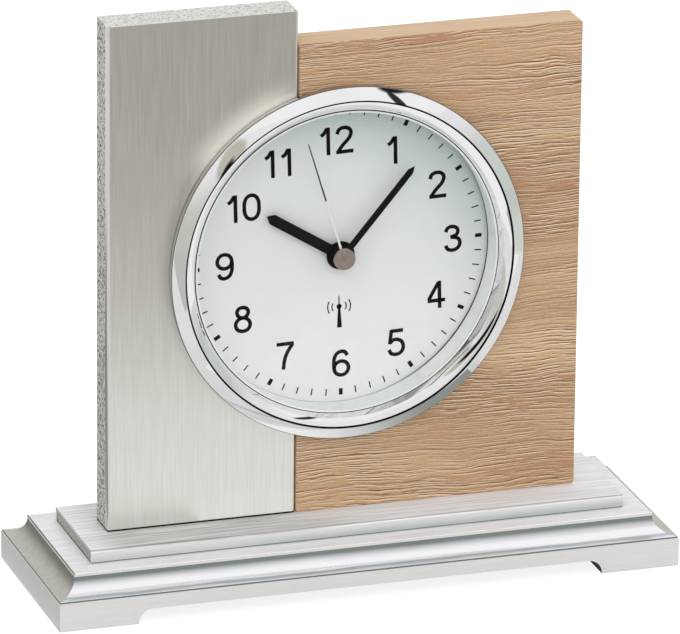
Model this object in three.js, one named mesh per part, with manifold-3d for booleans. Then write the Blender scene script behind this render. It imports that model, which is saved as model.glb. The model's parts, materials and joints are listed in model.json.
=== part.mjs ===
// Radio-controlled table clock: two panels on a moulded base, with a round clock insert between them.
// Millimetres. X to the right, Y to the back, Z up. The origin is under the middle of the base.

import * as THREE from 'three';
import { mergeVertices } from 'three/addons/utils/BufferGeometryUtils.js';
import Module from 'manifold-3d';

const wasm = await Module();
wasm.setup();

// Base: mitred mouldings round a core board
const baseWidth = 190;
const baseDepth = 62.7;
const baseHeight = 15.15;
const mouldingWidth = 14.2;
const fasciaHeight = 8.6;
const coveReach = 6.28;
const lipHeight = 1;
const quirkWidth = 0.3;
const quirkHeight = 0.45;
const mitreGap = 0.1;
const archHeight = 4.4;
const archInset = 23.9;
const archCorner = 4.2;
const padRadius = 4.5;
const padThickness = 1;
const padProud = 0.2;
const padClearance = 0.2;
const padInset = 16.35;

// Step: a board under a folded sheet
const stepSideLap = 1;
const stepFrontLap = 1.65;
const stepHeight = 4.1;
const sheetThickness = 0.6;

// Panels
const panelThickness = 11.3;
const metalWidth = 57.2;
const metalHeight = 153.9;
const oakWidth = 86.4;
const oakHeight = 143.65;
const seamGap = 0.4;
const pairShift = -1.1;
const sheetReturn = 2.4;
const sheetBend = 1.2;

// Screws that hold the panels, from below
const panelScrewRadius = 1.75;
const panelScrewHead = 3.5;
const panelScrewCone = 2;
const panelScrewLength = 27;
const panelScrewTip = 2.5;
const panelScrewInset = 14;
const screwClearance = 0.15;

// Clock insert, from the outside of the ring inwards
const bezelRadius = 53.9;
const bezelFlare = 0.6;
const bezelWall = 3.4;
const bezelHeight = 5.5;
const rimWidth = 4.3;
const rimBulge = 0.4;
const grooveDepth = 0.5;
const grooveWidth = 0.3;
const bevelWidth = 3.2;
const lipProud = 2.8;
const lipThickness = 0.6;
const seatWidth = 1.8;
const insertClearance = 0.2;
const boreClearance = 0.4;
const glassThickness = 1.2;
const gasketThickness = 0.4;
const cupWall = 1.4;
const cupFloor = 1.2;
const reflectorWall = 0.5;
const dialRecess = 6.8;
const dialThickness = 0.5;

// Rear retaining ring and its screws
const ringWidth = 11.4;
const ringThickness = 2;
const ringMovementClearance = 0.5;
const ringScrewCount = 3;
const ringScrewRadius = 1;
const ringScrewHead = 2.2;
const ringScrewHeadHeight = 1.3;
const bossRadius = 2.2;
const bossMargin = 0.4;
const bossGap = 0.1;

// Hands: time shown, and sizes measured from the arbor and from the dial face
const dialTurn = -1.7;
const hourAngle = 303.5;
const minuteAngle = 41.7;
const secondAngle = 344.5;
const handThickness = 0.4;
const hourHand = { length: 26.6, root: 3.2, tip: 3.2, point: 2, hub: 4.3, lift: 2.3 };
const minuteHand = { length: 33.9, root: 1.95, tip: 1.95, point: 2, hub: 3.4, lift: 4.2 };
const secondHand = { length: 37.9, root: 0.7, tip: 0.3, point: 0.4, hub: 2, lift: 5.4 };
const capRadius = 3.25;
const capThickness = 1;
const capEdge = 0.2;
const capSkin = 0.25;
const handClearance = 0.05;

// Nested arbors
const bushRadius = 3;
const hourTubeRadius = 2.4;
const minuteTubeRadius = 1.7;
const shaftRadius = 0.75;
const arborClearance = 0.05;
const dialHoleClearance = 0.2;
const bushProud = 0.4;

// Movement case
const movementSize = 56;
const movementDepth = 16;
const caseWall = 1.2;
const caseCorner = 4;
const earReach = 5;
const earHeight = 8;
const earThickness = 1.5;
const earScrewRadius = 1;
const earScrewHead = 2;
const earScrewHeadHeight = 1.2;
const earScrewTipGap = 0.2;

// Gear train: teeth, modules and the depth of each layer behind the movement's front face
const addendum = 0.75;
const dedendum = 1.8;
const toothTip = 0.09;
const trainModule = 0.4;
const cannonModule = 0.5;
const pinionTeeth = 8;
const trainTeeth = 40;
const centreTeeth = 48;
const cannonTeeth = 12;
const motionTeeth = 36;
const motionPinionTeeth = 10;
const hourTeeth = 40;
const wheelThickness = 0.8;
const pinionLength = 1.3;
const hourLayer = 1.6;
const motionLayer = 3;
const motionLead = 0.1;
const minuteLayer = 4.4;
const thirdLayer = 5.9;
const secondsLayer = 7.6;
const fifthLayer = 9.2;
const minuteTubeEnd = 7;
const bridgeLayer = 11;
const bridgeThickness = 1;
const arborRadius = 0.6;
const pivotRadius = 0.4;
const pivotReach = 0.7;
const motionPostRadius = 0.9;
const thirdDirection = 120;
const rotorSplay = 40;

// Motors
const magnetRadius = 2.5;
const magnetLength = 2.2;
const statorThickness = 1;
const rotorGap = 0.5;
const statorRing = 4;
const statorLimb = 2;
const statorBar = 5.6;
const statorFoot = -7;
const coilRadius = 3.2;
const coilFlange = 1;
const coilWindingInset = 0.4;
const coilBore = 1.4;
const coilMargin = 1.6;
const minuteStatorLayer = 8;
const secondsStatorLayer = 7;

// Circuit, antenna, battery and buttons
const bridgeHalfWidth = 18.4;
const bridgeTop = 18.6;
const bridgeClearance = 0.3;
const pillarRadius = 1.2;
const pillarLeftX = -10.8;
const pillarRightX = 17.4;
const boardThickness = 1;
const crystalRadius = 0.75;
const crystalGap = 0.05;
const crystalLength = 6;
const ferriteRadius = 3.2;
const ferriteLength = 50;
const ferriteLayer = 6.2;
const windingLength = 24;
const windingThickness = 0.6;
const windingClearance = 0.1;
const saddleWidth = 3;
const batteryRadius = 7.25;
const batteryLength = 49.3;
const batteryNub = 1.2;
const batteryNubRadius = 2.6;
const batteryClearance = 0.3;
const contactThickness = 0.3;
const contactWidth = 9;
const contactGap = 0.1;
const contactNose = 0.6;
const buttonRadius = 1.8;
const buttonFlange = 2.5;
const buttonFlangeThickness = 0.8;
const buttonProud = 0.8;
const buttonClearance = 0.1;
const buttonSpacing = 9;
const buttonHeight = 4;

// Facets round a circle
const ringFacets = 48;
const tubeFacets = 16;
const pinFacets = 8;
const arcSteps = 6;
const bezelSteps = 4;
const overshoot = 1;

// Levels and places that follow from the sizes above
const baseTop = padProud + baseHeight;
const stepTop = baseTop + stepHeight;
const coreHalfX = baseWidth / 2 - mouldingWidth;
const coreHalfY = baseDepth / 2 - mouldingWidth;
const coreBottom = padProud + archHeight;
const stepWidth = 2 * (coreHalfX + stepSideLap);
const stepDepth = 2 * (coreHalfY + stepFrontLap);
const panelFront = -panelThickness / 2;
const panelBack = panelThickness / 2;
const metalLeft = pairShift - (metalWidth + seamGap + oakWidth) / 2;
const metalRight = metalLeft + metalWidth;
const oakLeft = metalRight + seamGap;
const oakRight = oakLeft + oakWidth;
const axisX = pairShift;
const axisZ = stepTop + metalHeight / 2;
const grooveRadius = bezelRadius - rimWidth;
const lipRadius = grooveRadius - bevelWidth;
const seatRadius = lipRadius + seatWidth;
const cupRadius = seatRadius - insertClearance;
const boreRadius = cupRadius + boreClearance;
const cupInner = cupRadius - cupWall;
const glassFront = panelFront - lipProud + lipThickness;
const glassBack = glassFront + glassThickness;
const gasketBack = glassBack + gasketThickness;
const dialFace = panelFront + dialRecess;
const dialBack = dialFace + dialThickness;
const movementFront = dialBack + cupFloor;
const caseHalf = movementSize / 2;
const innerHalf = caseHalf - caseWall;
const coverFront = movementFront + movementDepth - caseWall;
const coverBack = movementFront + movementDepth;
const bayTop = -innerHalf + 2 * batteryRadius + batteryClearance * 2;
const gearSpaceFoot = bayTop + caseWall;
const bridgeFoot = gearSpaceFoot + bridgeClearance;
const bushBore = hourTubeRadius + arborClearance;
const hourTubeBore = minuteTubeRadius + arborClearance;
const minuteTubeBore = shaftRadius + arborClearance;
const dialHole = bushRadius + dialHoleClearance;
const degree = Math.PI / 180;

// Closed surfaces and booleans
function closed(geometry) {
  geometry.deleteAttribute('normal');
  geometry.deleteAttribute('uv');
  geometry.clearGroups();
  const merged = mergeVertices(geometry, 1e-5);
  const at = merged.attributes.position;
  const kept = [];
  let volume = 0;
  const [a, b, c] = [new THREE.Vector3(), new THREE.Vector3(), new THREE.Vector3()];
  for (let i = 0; i < merged.index.count; i += 3) {
    const corner = [0, 1, 2].map((k) => merged.index.getX(i + k));
    if (new Set(corner).size === 3) {
      kept.push(corner);
      a.fromBufferAttribute(at, corner[0]);
      b.fromBufferAttribute(at, corner[1]);
      c.fromBufferAttribute(at, corner[2]);
      volume += a.dot(b.cross(c));
    }
  }
  const outward = volume > 0 ? kept : kept.map(([p, q, r]) => [p, r, q]);
  merged.setIndex(outward.flat());
  return merged;
}

function toManifold(geometry) {
  const vertProperties = new Float32Array(geometry.attributes.position.array);
  const triVerts = new Uint32Array(geometry.index.array);
  return new wasm.Manifold(new wasm.Mesh({ numProp: 3, vertProperties, triVerts }));
}

function fromManifold(manifold) {
  const mesh = manifold.getMesh();
  const geometry = new THREE.BufferGeometry();
  geometry.setAttribute('position', new THREE.BufferAttribute(mesh.vertProperties, 3));
  geometry.setIndex(new THREE.BufferAttribute(mesh.triVerts, 1));
  return geometry;
}

function join(...bodies) {
  const solids = bodies.map(toManifold);
  return fromManifold(solids.reduce((sum, next) => sum.add(next)));
}

function cut(body, ...tools) {
  const solids = tools.map(toManifold);
  return fromManifold(solids.reduce((rest, tool) => rest.subtract(tool), toManifold(body)));
}

// Plain forms
function box(x0, x1, y0, y1, z0, z1) {
  const block = new THREE.BoxGeometry(x1 - x0, y1 - y0, z1 - z0);
  return closed(block.translate((x0 + x1) / 2, (y0 + y1) / 2, (z0 + z1) / 2));
}

const plainExtrusion = { bevelEnabled: false, curveSegments: arcSteps };

// An outline in the front view (x to the right, z up), thick from y0 to y1
function prism(outline, y0, y1) {
  const slab = new THREE.ExtrudeGeometry(outline, { ...plainExtrusion, depth: y1 - y0 });
  return closed(slab.rotateX(Math.PI / 2).translate(0, y1, 0));
}

// An outline in the plan (x to the right, y to the back), standing from z0 to z1
function column(outline, z0, z1) {
  const post = new THREE.ExtrudeGeometry(outline, { ...plainExtrusion, depth: z1 - z0 });
  return closed(post.translate(0, 0, z0));
}

// A profile of [radius, distance along the axis] pairs turned round an axis along Y, Z or X
function turned(profile, facets, axis = 'y') {
  const points = profile.map(([radius, along]) => new THREE.Vector2(radius, along));
  if (profile[0][0] > 0) {
    points.push(points[0].clone());
  }
  const lathe = new THREE.LatheGeometry(points, facets);
  if (axis === 'z') {
    lathe.rotateX(Math.PI / 2);
  }
  if (axis === 'x') {
    lathe.rotateZ(-Math.PI / 2);
  }
  return closed(lathe);
}

function rod(radius, from, to, facets = tubeFacets, axis = 'y') {
  return turned([[0, from], [radius, from], [radius, to], [0, to]], facets, axis);
}

function ring(inner, outer, from, to, facets = ringFacets, axis = 'y') {
  return turned([[inner, from], [outer, from], [outer, to], [inner, to]], facets, axis);
}

function polygon(points) {
  return new THREE.Shape(points.map(([u, v]) => new THREE.Vector2(u, v)));
}

function roundedRectangle(u0, u1, v0, v1, radius) {
  const outline = new THREE.Shape();
  outline.moveTo(u0 + radius, v0);
  outline.lineTo(u1 - radius, v0);
  outline.absarc(u1 - radius, v0 + radius, radius, -Math.PI / 2, 0);
  outline.absarc(u1 - radius, v1 - radius, radius, 0, Math.PI / 2);
  outline.absarc(u0 + radius, v1 - radius, radius, Math.PI / 2, Math.PI);
  outline.absarc(u0 + radius, v0 + radius, radius, Math.PI, Math.PI * 1.5);
  return outline;
}

function polar(radius, degrees, [x, z] = [0, 0]) {
  return [x + radius * Math.cos(degrees * degree), z + radius * Math.sin(degrees * degree)];
}

// Finishes
const finishes = {
  satinSilver: { color: 0xd6d6d4, roughness: 0.35, metalness: 0.9 },
  brushedAluminium: { color: 0xc4c2bc, roughness: 0.45, metalness: 0.9 },
  speckledLacquer: { color: 0xa9a6a0, roughness: 0.7, metalness: 0.3 },
  oak: { color: 0xcfa87f, roughness: 0.6, metalness: 0 },
  board: { color: 0x9b8268, roughness: 0.85, metalness: 0 },
  felt: { color: 0x2a2a2a, roughness: 1, metalness: 0 },
  steel: { color: 0xb4b4b2, roughness: 0.35, metalness: 1 },
  chrome: { color: 0xe4e6e8, roughness: 0.06, metalness: 1 },
  glass: { color: 0xf2f6f5, roughness: 0.02, metalness: 0 },
  rubber: { color: 0x1b1b1b, roughness: 0.9, metalness: 0 },
  dialWhite: { color: 0xdfe1df, roughness: 0.6, metalness: 0 },
  blackPlastic: { color: 0x1d1d1e, roughness: 0.55, metalness: 0 },
  whitePlastic: { color: 0xe8e6df, roughness: 0.5, metalness: 0 },
  handBlack: { color: 0x101010, roughness: 0.4, metalness: 0.2 },
  capTaupe: { color: 0x8b8079, roughness: 0.35, metalness: 0.5 },
  brass: { color: 0xc9a75a, roughness: 0.3, metalness: 1 },
  copper: { color: 0xb06a3c, roughness: 0.4, metalness: 0.9 },
  ferrite: { color: 0x3a3a3c, roughness: 0.8, metalness: 0.1 },
  magnet: { color: 0x6d6f73, roughness: 0.4, metalness: 0.8 },
  boardGreen: { color: 0x2f6b45, roughness: 0.6, metalness: 0 },
  batteryJacket: { color: 0x34383d, roughness: 0.35, metalness: 0.4 },
  buttonGrey: { color: 0xb9b9b6, roughness: 0.5, metalness: 0 },
};

const clock = new THREE.Group();
const insert = new THREE.Group();
insert.position.set(axisX, 0, axisZ);
clock.add(insert);

function place(parent, name, geometry, finish) {
  const mesh = new THREE.Mesh(geometry, new THREE.MeshStandardMaterial(finishes[finish]));
  mesh.name = name;
  parent.add(mesh);
  return mesh;
}

// Base mouldings: the section is carried along each side, with both ends cut on the mitre
function mouldingSection() {
  const coveFoot = mouldingWidth - quirkWidth;
  const coveSpring = baseHeight - lipHeight;
  const coveRise = coveSpring - fasciaHeight - quirkHeight;
  const coveRun = coveReach - quirkWidth;
  const points = [[0, 0], [mouldingWidth, 0], [mouldingWidth, fasciaHeight], [coveFoot, fasciaHeight]];
  for (let i = 0; i <= arcSteps; i += 1) {
    const turn = (Math.PI / 2) * (1 - i / arcSteps);
    points.push([coveFoot - coveRun * Math.cos(turn), coveSpring - coveRise * Math.sin(turn)]);
  }
  points.push([mouldingWidth - coveReach, baseHeight], [0, baseHeight]);
  return polygon(points);
}

function moulding(innerHalfLength, innerDistance, toWorld) {
  const strip = new THREE.ExtrudeGeometry(mouldingSection(), { ...plainExtrusion, depth: 1 });
  const at = strip.attributes.position;
  for (let i = 0; i < at.count; i += 1) {
    const out = at.getX(i);
    const along = (2 * at.getZ(i) - 1) * (innerHalfLength + out - mitreGap / 2);
    const [x, y] = toWorld(along, innerDistance + out);
    at.setXYZ(i, x, y, padProud + at.getY(i));
  }
  return closed(strip);
}

const archHalf = baseWidth / 2 - archInset;
const archCut = new THREE.Shape();
archCut.moveTo(-archHalf, -overshoot);
archCut.lineTo(archHalf, -overshoot);
archCut.absarc(archHalf - archCorner, coreBottom - archCorner, archCorner, 0, Math.PI / 2);
archCut.absarc(archCorner - archHalf, coreBottom - archCorner, archCorner, Math.PI / 2, Math.PI);
const arch = prism(archCut, -baseDepth, baseDepth);
const frontStrip = moulding(coreHalfX, coreHalfY, (along, out) => [along, -out]);
const rearStrip = moulding(coreHalfX, coreHalfY, (along, out) => [along, out]);
const leftStrip = moulding(coreHalfY, coreHalfX, (along, out) => [-out, along]);
const rightStrip = moulding(coreHalfY, coreHalfX, (along, out) => [out, along]);

const padX = baseWidth / 2 - mouldingWidth / 2;
const padY = baseDepth / 2 - padInset;
const padPlaces = [[-padX, -padY], [-padX, padY], [padX, -padY], [padX, padY]];
const padRecesses = padPlaces.map(([x, y]) => {
  const recess = rod(padRadius + padClearance, -overshoot, padThickness, tubeFacets, 'z');
  return recess.translate(x, y, 0);
});
place(clock, 'base_moulding_front', cut(frontStrip, arch), 'satinSilver');
place(clock, 'base_moulding_rear', cut(rearStrip, arch), 'satinSilver');
place(clock, 'base_moulding_left', cut(leftStrip, padRecesses[0], padRecesses[1]), 'satinSilver');
place(clock, 'base_moulding_right', cut(rightStrip, padRecesses[2], padRecesses[3]), 'satinSilver');
padPlaces.forEach(([x, y], i) => {
  const pad = place(clock, `felt_pad_${i + 1}`, rod(padRadius, 0, padThickness, tubeFacets, 'z'), 'felt');
  pad.position.set(x, y, 0);
});

// Panel screws, each with the hole that it needs through base, step and panel
const panelScrewPlaces = [metalLeft + panelScrewInset, metalRight - panelScrewInset,
  oakLeft + panelScrewInset, oakRight - panelScrewInset];
const screwFoot = coreBottom + screwClearance;
const screwEnd = screwFoot + panelScrewLength;

function panelScrew() {
  return turned([[0, screwFoot], [panelScrewHead, screwFoot], [panelScrewRadius, screwFoot + panelScrewCone],
    [panelScrewRadius, screwEnd - panelScrewTip], [0, screwEnd]], pinFacets, 'z');
}

function panelScrewHole(x) {
  const shank = panelScrewRadius + screwClearance;
  const head = panelScrewHead + screwClearance;
  const hole = turned([[0, coreBottom - overshoot], [head, coreBottom - overshoot], [head, screwFoot],
    [shank, screwFoot + panelScrewCone], [shank, screwEnd + screwClearance], [0, screwEnd + screwClearance]],
  pinFacets, 'z');
  return hole.translate(x, 0, 0);
}

const screwHoles = panelScrewPlaces.map(panelScrewHole);
panelScrewPlaces.forEach((x, i) => {
  place(clock, `panel_screw_${i + 1}`, panelScrew(), 'steel').position.set(x, 0, 0);
});

// Base core and step
const coreBlock = box(-coreHalfX, coreHalfX, -coreHalfY, coreHalfY, coreBottom, baseTop);
const stepX = stepWidth / 2;
const stepY = stepDepth / 2;
const stepUnder = stepTop - sheetThickness;
const stepInnerY = stepY - sheetThickness;
const stepBlock = box(-stepX, stepX, -stepInnerY, stepInnerY, baseTop, stepUnder);
const stepOuter = box(-stepX, stepX, -stepY, stepY, baseTop, stepTop);
const stepHollow = box(-stepX - overshoot, stepX + overshoot, -stepInnerY, stepInnerY,
  baseTop - overshoot, stepUnder);
place(clock, 'base_core', cut(coreBlock, ...screwHoles), 'board');
place(clock, 'step_board', cut(stepBlock, ...screwHoles), 'speckledLacquer');
place(clock, 'step_sheet', cut(stepOuter, stepHollow, ...screwHoles), 'brushedAluminium');

// Panels: the sheet wraps the front edges of the tall board, which is rebated for it
const bore = rod(boreRadius, panelFront - overshoot, panelBack + overshoot, ringFacets);
bore.translate(axisX, 0, axisZ);
const returnEnd = panelFront + sheetReturn;
const sheetBack = panelFront + sheetThickness;
const sheetOutline = new THREE.Shape();
sheetOutline.moveTo(metalLeft, returnEnd);
sheetOutline.absarc(metalLeft + sheetBend, panelFront + sheetBend, sheetBend, Math.PI, Math.PI * 1.5);
sheetOutline.absarc(metalRight - sheetBend, panelFront + sheetBend, sheetBend, Math.PI * 1.5, Math.PI * 2);
sheetOutline.lineTo(metalRight, returnEnd);
sheetOutline.lineTo(metalRight - sheetThickness, returnEnd);
sheetOutline.lineTo(metalRight - sheetThickness, sheetBack);
sheetOutline.lineTo(metalLeft + sheetThickness, sheetBack);
sheetOutline.lineTo(metalLeft + sheetThickness, returnEnd);
const boardOutline = polygon([[metalLeft, panelBack], [metalLeft, returnEnd],
  [metalLeft + sheetThickness, returnEnd], [metalLeft + sheetThickness, sheetBack],
  [metalRight - sheetThickness, sheetBack], [metalRight - sheetThickness, returnEnd],
  [metalRight, returnEnd], [metalRight, panelBack]]);
const metalTop = stepTop + metalHeight;
const oakBlock = box(oakLeft, oakRight, panelFront, panelBack, stepTop, stepTop + oakHeight);
const metalScrewHoles = screwHoles.slice(0, 2);
const oakScrewHoles = screwHoles.slice(2);
place(clock, 'metal_panel_sheet', cut(column(sheetOutline, stepTop, metalTop), bore), 'brushedAluminium');
place(clock, 'metal_panel_board', cut(column(boardOutline, stepTop, metalTop), bore, ...metalScrewHoles),
  'speckledLacquer');
place(clock, 'oak_panel', cut(oakBlock, bore, ...oakScrewHoles), 'oak');

// Bezel ring: flared wall, crowned rim, fine groove, hollow bevel, lip over the glass
function bezelProfile() {
  const proud = (radius, height) => [radius, panelFront - height];
  const crownWidth = rimWidth - grooveWidth;
  const rise = bezelHeight - bezelWall;
  const grooveFloor = bezelHeight - grooveDepth;
  const crown = [];
  const bevel = [];
  for (let i = 0; i <= bezelSteps; i += 1) {
    const share = i / bezelSteps;
    const turn = (Math.PI / 2) * share;
    const bulge = 4 * rimBulge * share * (1 - share);
    crown.push(proud(bezelRadius - crownWidth * share, bezelWall + rise * share + bulge));
    bevel.push(proud(grooveRadius - bevelWidth * Math.sin(turn),
      grooveFloor - (grooveFloor - lipProud) * (1 - Math.cos(turn))));
  }
  return [proud(seatRadius, 0), proud(bezelRadius - bezelFlare, 0), ...crown,
    proud(grooveRadius + grooveWidth, grooveFloor), ...bevel,
    proud(lipRadius, lipProud - lipThickness), proud(seatRadius, lipProud - lipThickness)];
}

place(insert, 'bezel_ring', turned(bezelProfile(), ringFacets), 'chrome');
place(insert, 'glass', rod(cupRadius, glassFront, glassBack, ringFacets), 'glass');
place(insert, 'glass_gasket', ring(cupInner, cupRadius, glassBack, gasketBack), 'rubber');
const reflectorOuter = cupInner - insertClearance;
const reflectorInner = reflectorOuter - reflectorWall;
place(insert, 'reflector_ring', ring(reflectorInner, reflectorOuter, glassBack, dialFace), 'chrome');
place(insert, 'dial', ring(dialHole, reflectorOuter, dialFace, dialBack), 'dialWhite');

// Case cup with bosses for the ring screws and holes for the movement's screws
const bossOrbit = cupRadius - bossRadius - bossMargin;
const bossEnd = panelBack - bossGap;
const bossPlaces = Array.from({ length: ringScrewCount }, (_, i) => {
  return polar(bossOrbit, 90 + (360 / ringScrewCount) * i);
});
const ringBack = panelBack + ringThickness;
const ringScrewStart = movementFront + bossGap;
const screwHoleRadius = ringScrewRadius + screwClearance;
const cupShell = turned([[cupRadius, gasketBack], [cupRadius, movementFront], [dialHole, movementFront],
  [dialHole, dialBack], [cupInner, dialBack], [cupInner, gasketBack]], ringFacets);
const bosses = bossPlaces.map(([x, z]) => {
  return rod(bossRadius, dialBack + cupFloor / 2, bossEnd, pinFacets).translate(x, 0, z);
});
const ringScrewHoles = bossPlaces.map(([x, z]) => {
  return rod(screwHoleRadius, ringScrewStart, ringBack + overshoot, pinFacets).translate(x, 0, z);
});
const earScrewX = caseHalf + earReach / 2;
const earScrewPlaces = [-earScrewX, earScrewX];
const earBack = movementFront + earThickness;
const earHoleRadius = earScrewRadius + screwClearance;
const earScrewHoles = earScrewPlaces.map((x) => {
  return rod(earHoleRadius, dialBack - overshoot, earBack + overshoot, pinFacets).translate(x, 0, 0);
});
const cupBlank = join(cupShell, ...bosses);
place(insert, 'case_cup', cut(cupBlank, ...ringScrewHoles, ...earScrewHoles), 'blackPlastic');
const ringPlate = ring(bezelRadius - ringWidth, bezelRadius, panelBack, ringBack);
const reliefHalf = caseHalf + ringMovementClearance;
const reliefOutline = roundedRectangle(-reliefHalf, reliefHalf, -reliefHalf, reliefHalf, caseCorner);
const movementRelief = prism(reliefOutline, panelBack - overshoot, ringBack + overshoot);
place(insert, 'retaining_ring', cut(ringPlate, movementRelief, ...ringScrewHoles), 'blackPlastic');

function panHeadScrew(radius, headRadius, from, seat, headHeight) {
  const top = seat + headHeight;
  return turned([[0, from], [radius, from], [radius, seat], [headRadius, seat],
    [headRadius, seat + headHeight / 2], [headRadius / 2, top], [0, top]], pinFacets);
}

bossPlaces.forEach(([x, z], i) => {
  const start = ringScrewStart + bossGap;
  const screw = panHeadScrew(ringScrewRadius, ringScrewHead, start, ringBack, ringScrewHeadHeight);
  place(insert, `ring_screw_${i + 1}`, screw, 'steel').position.set(x, 0, z);
});
earScrewPlaces.forEach((x, i) => {
  const start = dialBack + earScrewTipGap;
  const screw = panHeadScrew(earScrewRadius, earScrewHead, start, earBack, earScrewHeadHeight);
  place(insert, `movement_screw_${i + 1}`, screw, 'steel').position.set(x, 0, 0);
});

// Hands point to twelve in their own frame and are turned to the time shown.
// Each gives back the level of its front face, where its arbor ends.
function hand(name, { length, root, tip, point, hub, lift }, arborRadiusThere, angle, finish) {
  const back = dialFace - lift;
  const front = back - handThickness;
  const blade = polygon([[-root / 2, 0], [root / 2, 0], [tip / 2, length - point], [0, length],
    [-tip / 2, length - point]]);
  const disc = rod(hub, front, back);
  const hole = rod(arborRadiusThere + handClearance, front - overshoot, back + overshoot);
  const mesh = place(insert, name, cut(join(prism(blade, front, back), disc), hole), finish);
  mesh.rotation.y = (angle + dialTurn) * degree;
  return front;
}

const hourFront = hand('hour_hand', hourHand, hourTubeRadius, hourAngle, 'handBlack');
const minuteFront = hand('minute_hand', minuteHand, minuteTubeRadius, minuteAngle, 'handBlack');
const secondFront = hand('second_hand', secondHand, shaftRadius, secondAngle, 'steel');
const capFront = secondFront - capThickness;
const capBore = shaftRadius + handClearance;
place(insert, 'second_hand_cap', turned([[0, capFront], [capRadius - capEdge, capFront],
  [capRadius, capFront + capEdge], [capRadius, secondFront], [capBore, secondFront],
  [capBore, capFront + capSkin], [0, capFront + capSkin]], tubeFacets), 'capTaupe');

// Gear train places in the front view, from the centre arbor
const layer = (depth) => movementFront + depth;
const centreDistance = (trainModule * (centreTeeth + pinionTeeth)) / 2;
const rotorDistance = (trainModule * (trainTeeth + pinionTeeth)) / 2;
const motionDistance = (cannonModule * (cannonTeeth + motionTeeth)) / 2;
const hourModule = (2 * motionDistance) / (hourTeeth + motionPinionTeeth);
const fifthDirection = 180 - thirdDirection;
const thirdPlace = polar(centreDistance, thirdDirection);
const fifthPlace = polar(centreDistance, fifthDirection);
const minuteRotorDirection = thirdDirection + rotorSplay;
const secondsRotorDirection = fifthDirection - rotorSplay;
const minuteRotorPlace = polar(rotorDistance, minuteRotorDirection, thirdPlace);
const secondsRotorPlace = polar(rotorDistance, secondsRotorDirection, fifthPlace);
const motionPlace = [motionDistance, 0];

// A toothed wheel with one tooth centred on toothAngle, in degrees from +X towards +Z
function gear(teeth, module, toothAngle, from, thickness) {
  const pitchRadius = (module * teeth) / 2;
  const pitchAngle = 360 / teeth;
  const root = pitchRadius - dedendum * module;
  const tip = pitchRadius + addendum * module;
  const points = [];
  for (let i = 0; i < teeth; i += 1) {
    const middle = toothAngle + i * pitchAngle;
    points.push(polar(root, middle - pitchAngle / 2));
    points.push(polar(tip, middle - toothTip * pitchAngle), polar(tip, middle + toothTip * pitchAngle));
  }
  return prism(polygon(points), layer(from), layer(from + thickness));
}

// The angle of a gap that faces a mate in the given direction
const gapTowards = (direction, teeth) => direction + 180 / teeth;

// Centre arbor: hour wheel on its tube, minute wheel on its tube, seconds wheel on its shaft
const hourTube = rod(hourTubeRadius, hourFront, layer(hourLayer + wheelThickness));
const hourBore = rod(hourTubeBore, hourFront - overshoot, layer(hourLayer + wheelThickness) + overshoot);
const hourGear = gear(hourTeeth, hourModule, gapTowards(0, hourTeeth), hourLayer, wheelThickness);
place(insert, 'hour_wheel', cut(join(hourTube, hourGear), hourBore), 'whitePlastic');

const minuteTube = rod(minuteTubeRadius, minuteFront, layer(minuteTubeEnd));
const minuteBore = rod(minuteTubeBore, minuteFront - overshoot, layer(minuteTubeEnd) + overshoot);
const minuteGap = gapTowards(thirdDirection, centreTeeth);
const minuteGear = gear(centreTeeth, trainModule, minuteGap, minuteLayer, wheelThickness);
const cannonLength = minuteLayer + wheelThickness - motionLayer;
const cannonPinion = gear(cannonTeeth, cannonModule, 0, motionLayer, cannonLength);
place(insert, 'minute_wheel', cut(join(minuteTube, minuteGear, cannonPinion), minuteBore), 'whitePlastic');

const shaftEnd = bridgeLayer + pivotReach;
const secondsShaft = rod(shaftRadius, capFront + capSkin + handClearance, layer(shaftEnd));
const secondsGap = gapTowards(fifthDirection, centreTeeth);
const secondsGear = gear(centreTeeth, trainModule, secondsGap, secondsLayer, wheelThickness);
place(insert, 'seconds_wheel', join(secondsShaft, secondsGear), 'whitePlastic');

// Motion-work wheel on its post
const motionStart = hourLayer - motionLead;
const motionLength = motionLayer + wheelThickness - motionStart;
const motionPinion = gear(motionPinionTeeth, hourModule, 180, motionStart, motionLength);
const motionGear = gear(motionTeeth, cannonModule, gapTowards(180, motionTeeth), motionLayer, wheelThickness);
const motionBore = rod(motionPostRadius + arborClearance, layer(0), layer(motionLayer + 2 * wheelThickness));
const motionSolid = cut(join(motionPinion, motionGear), motionBore);
const motionWheel = place(insert, 'motion_work_wheel', motionSolid, 'whitePlastic');
motionWheel.position.set(motionPlace[0], 0, motionPlace[1]);

// Arbors run from the case floor to the bridge on thin pivots
const pivotStart = caseWall - pivotReach;
const pivotEnd = bridgeLayer + pivotReach;

function arbor() {
  const shoulder = caseWall + arborClearance * 2;
  const rearShoulder = bridgeLayer - arborClearance * 2;
  return turned([[0, layer(pivotStart)], [pivotRadius, layer(pivotStart)], [pivotRadius, layer(shoulder)],
    [arborRadius, layer(shoulder)], [arborRadius, layer(rearShoulder)], [pivotRadius, layer(rearShoulder)],
    [pivotRadius, layer(pivotEnd)], [0, layer(pivotEnd)]], pinFacets);
}

function trainWheel(name, at, wheelLayer, rotorDirection, pinionStart, pinionEnd, centreDirection) {
  const gap = gapTowards(rotorDirection, trainTeeth);
  const wheel = gear(trainTeeth, trainModule, gap, wheelLayer, wheelThickness);
  const pinion = gear(pinionTeeth, trainModule, centreDirection, pinionStart, pinionEnd - pinionStart);
  place(insert, name, join(arbor(), wheel, pinion), 'whitePlastic').position.set(at[0], 0, at[1]);
}

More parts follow.
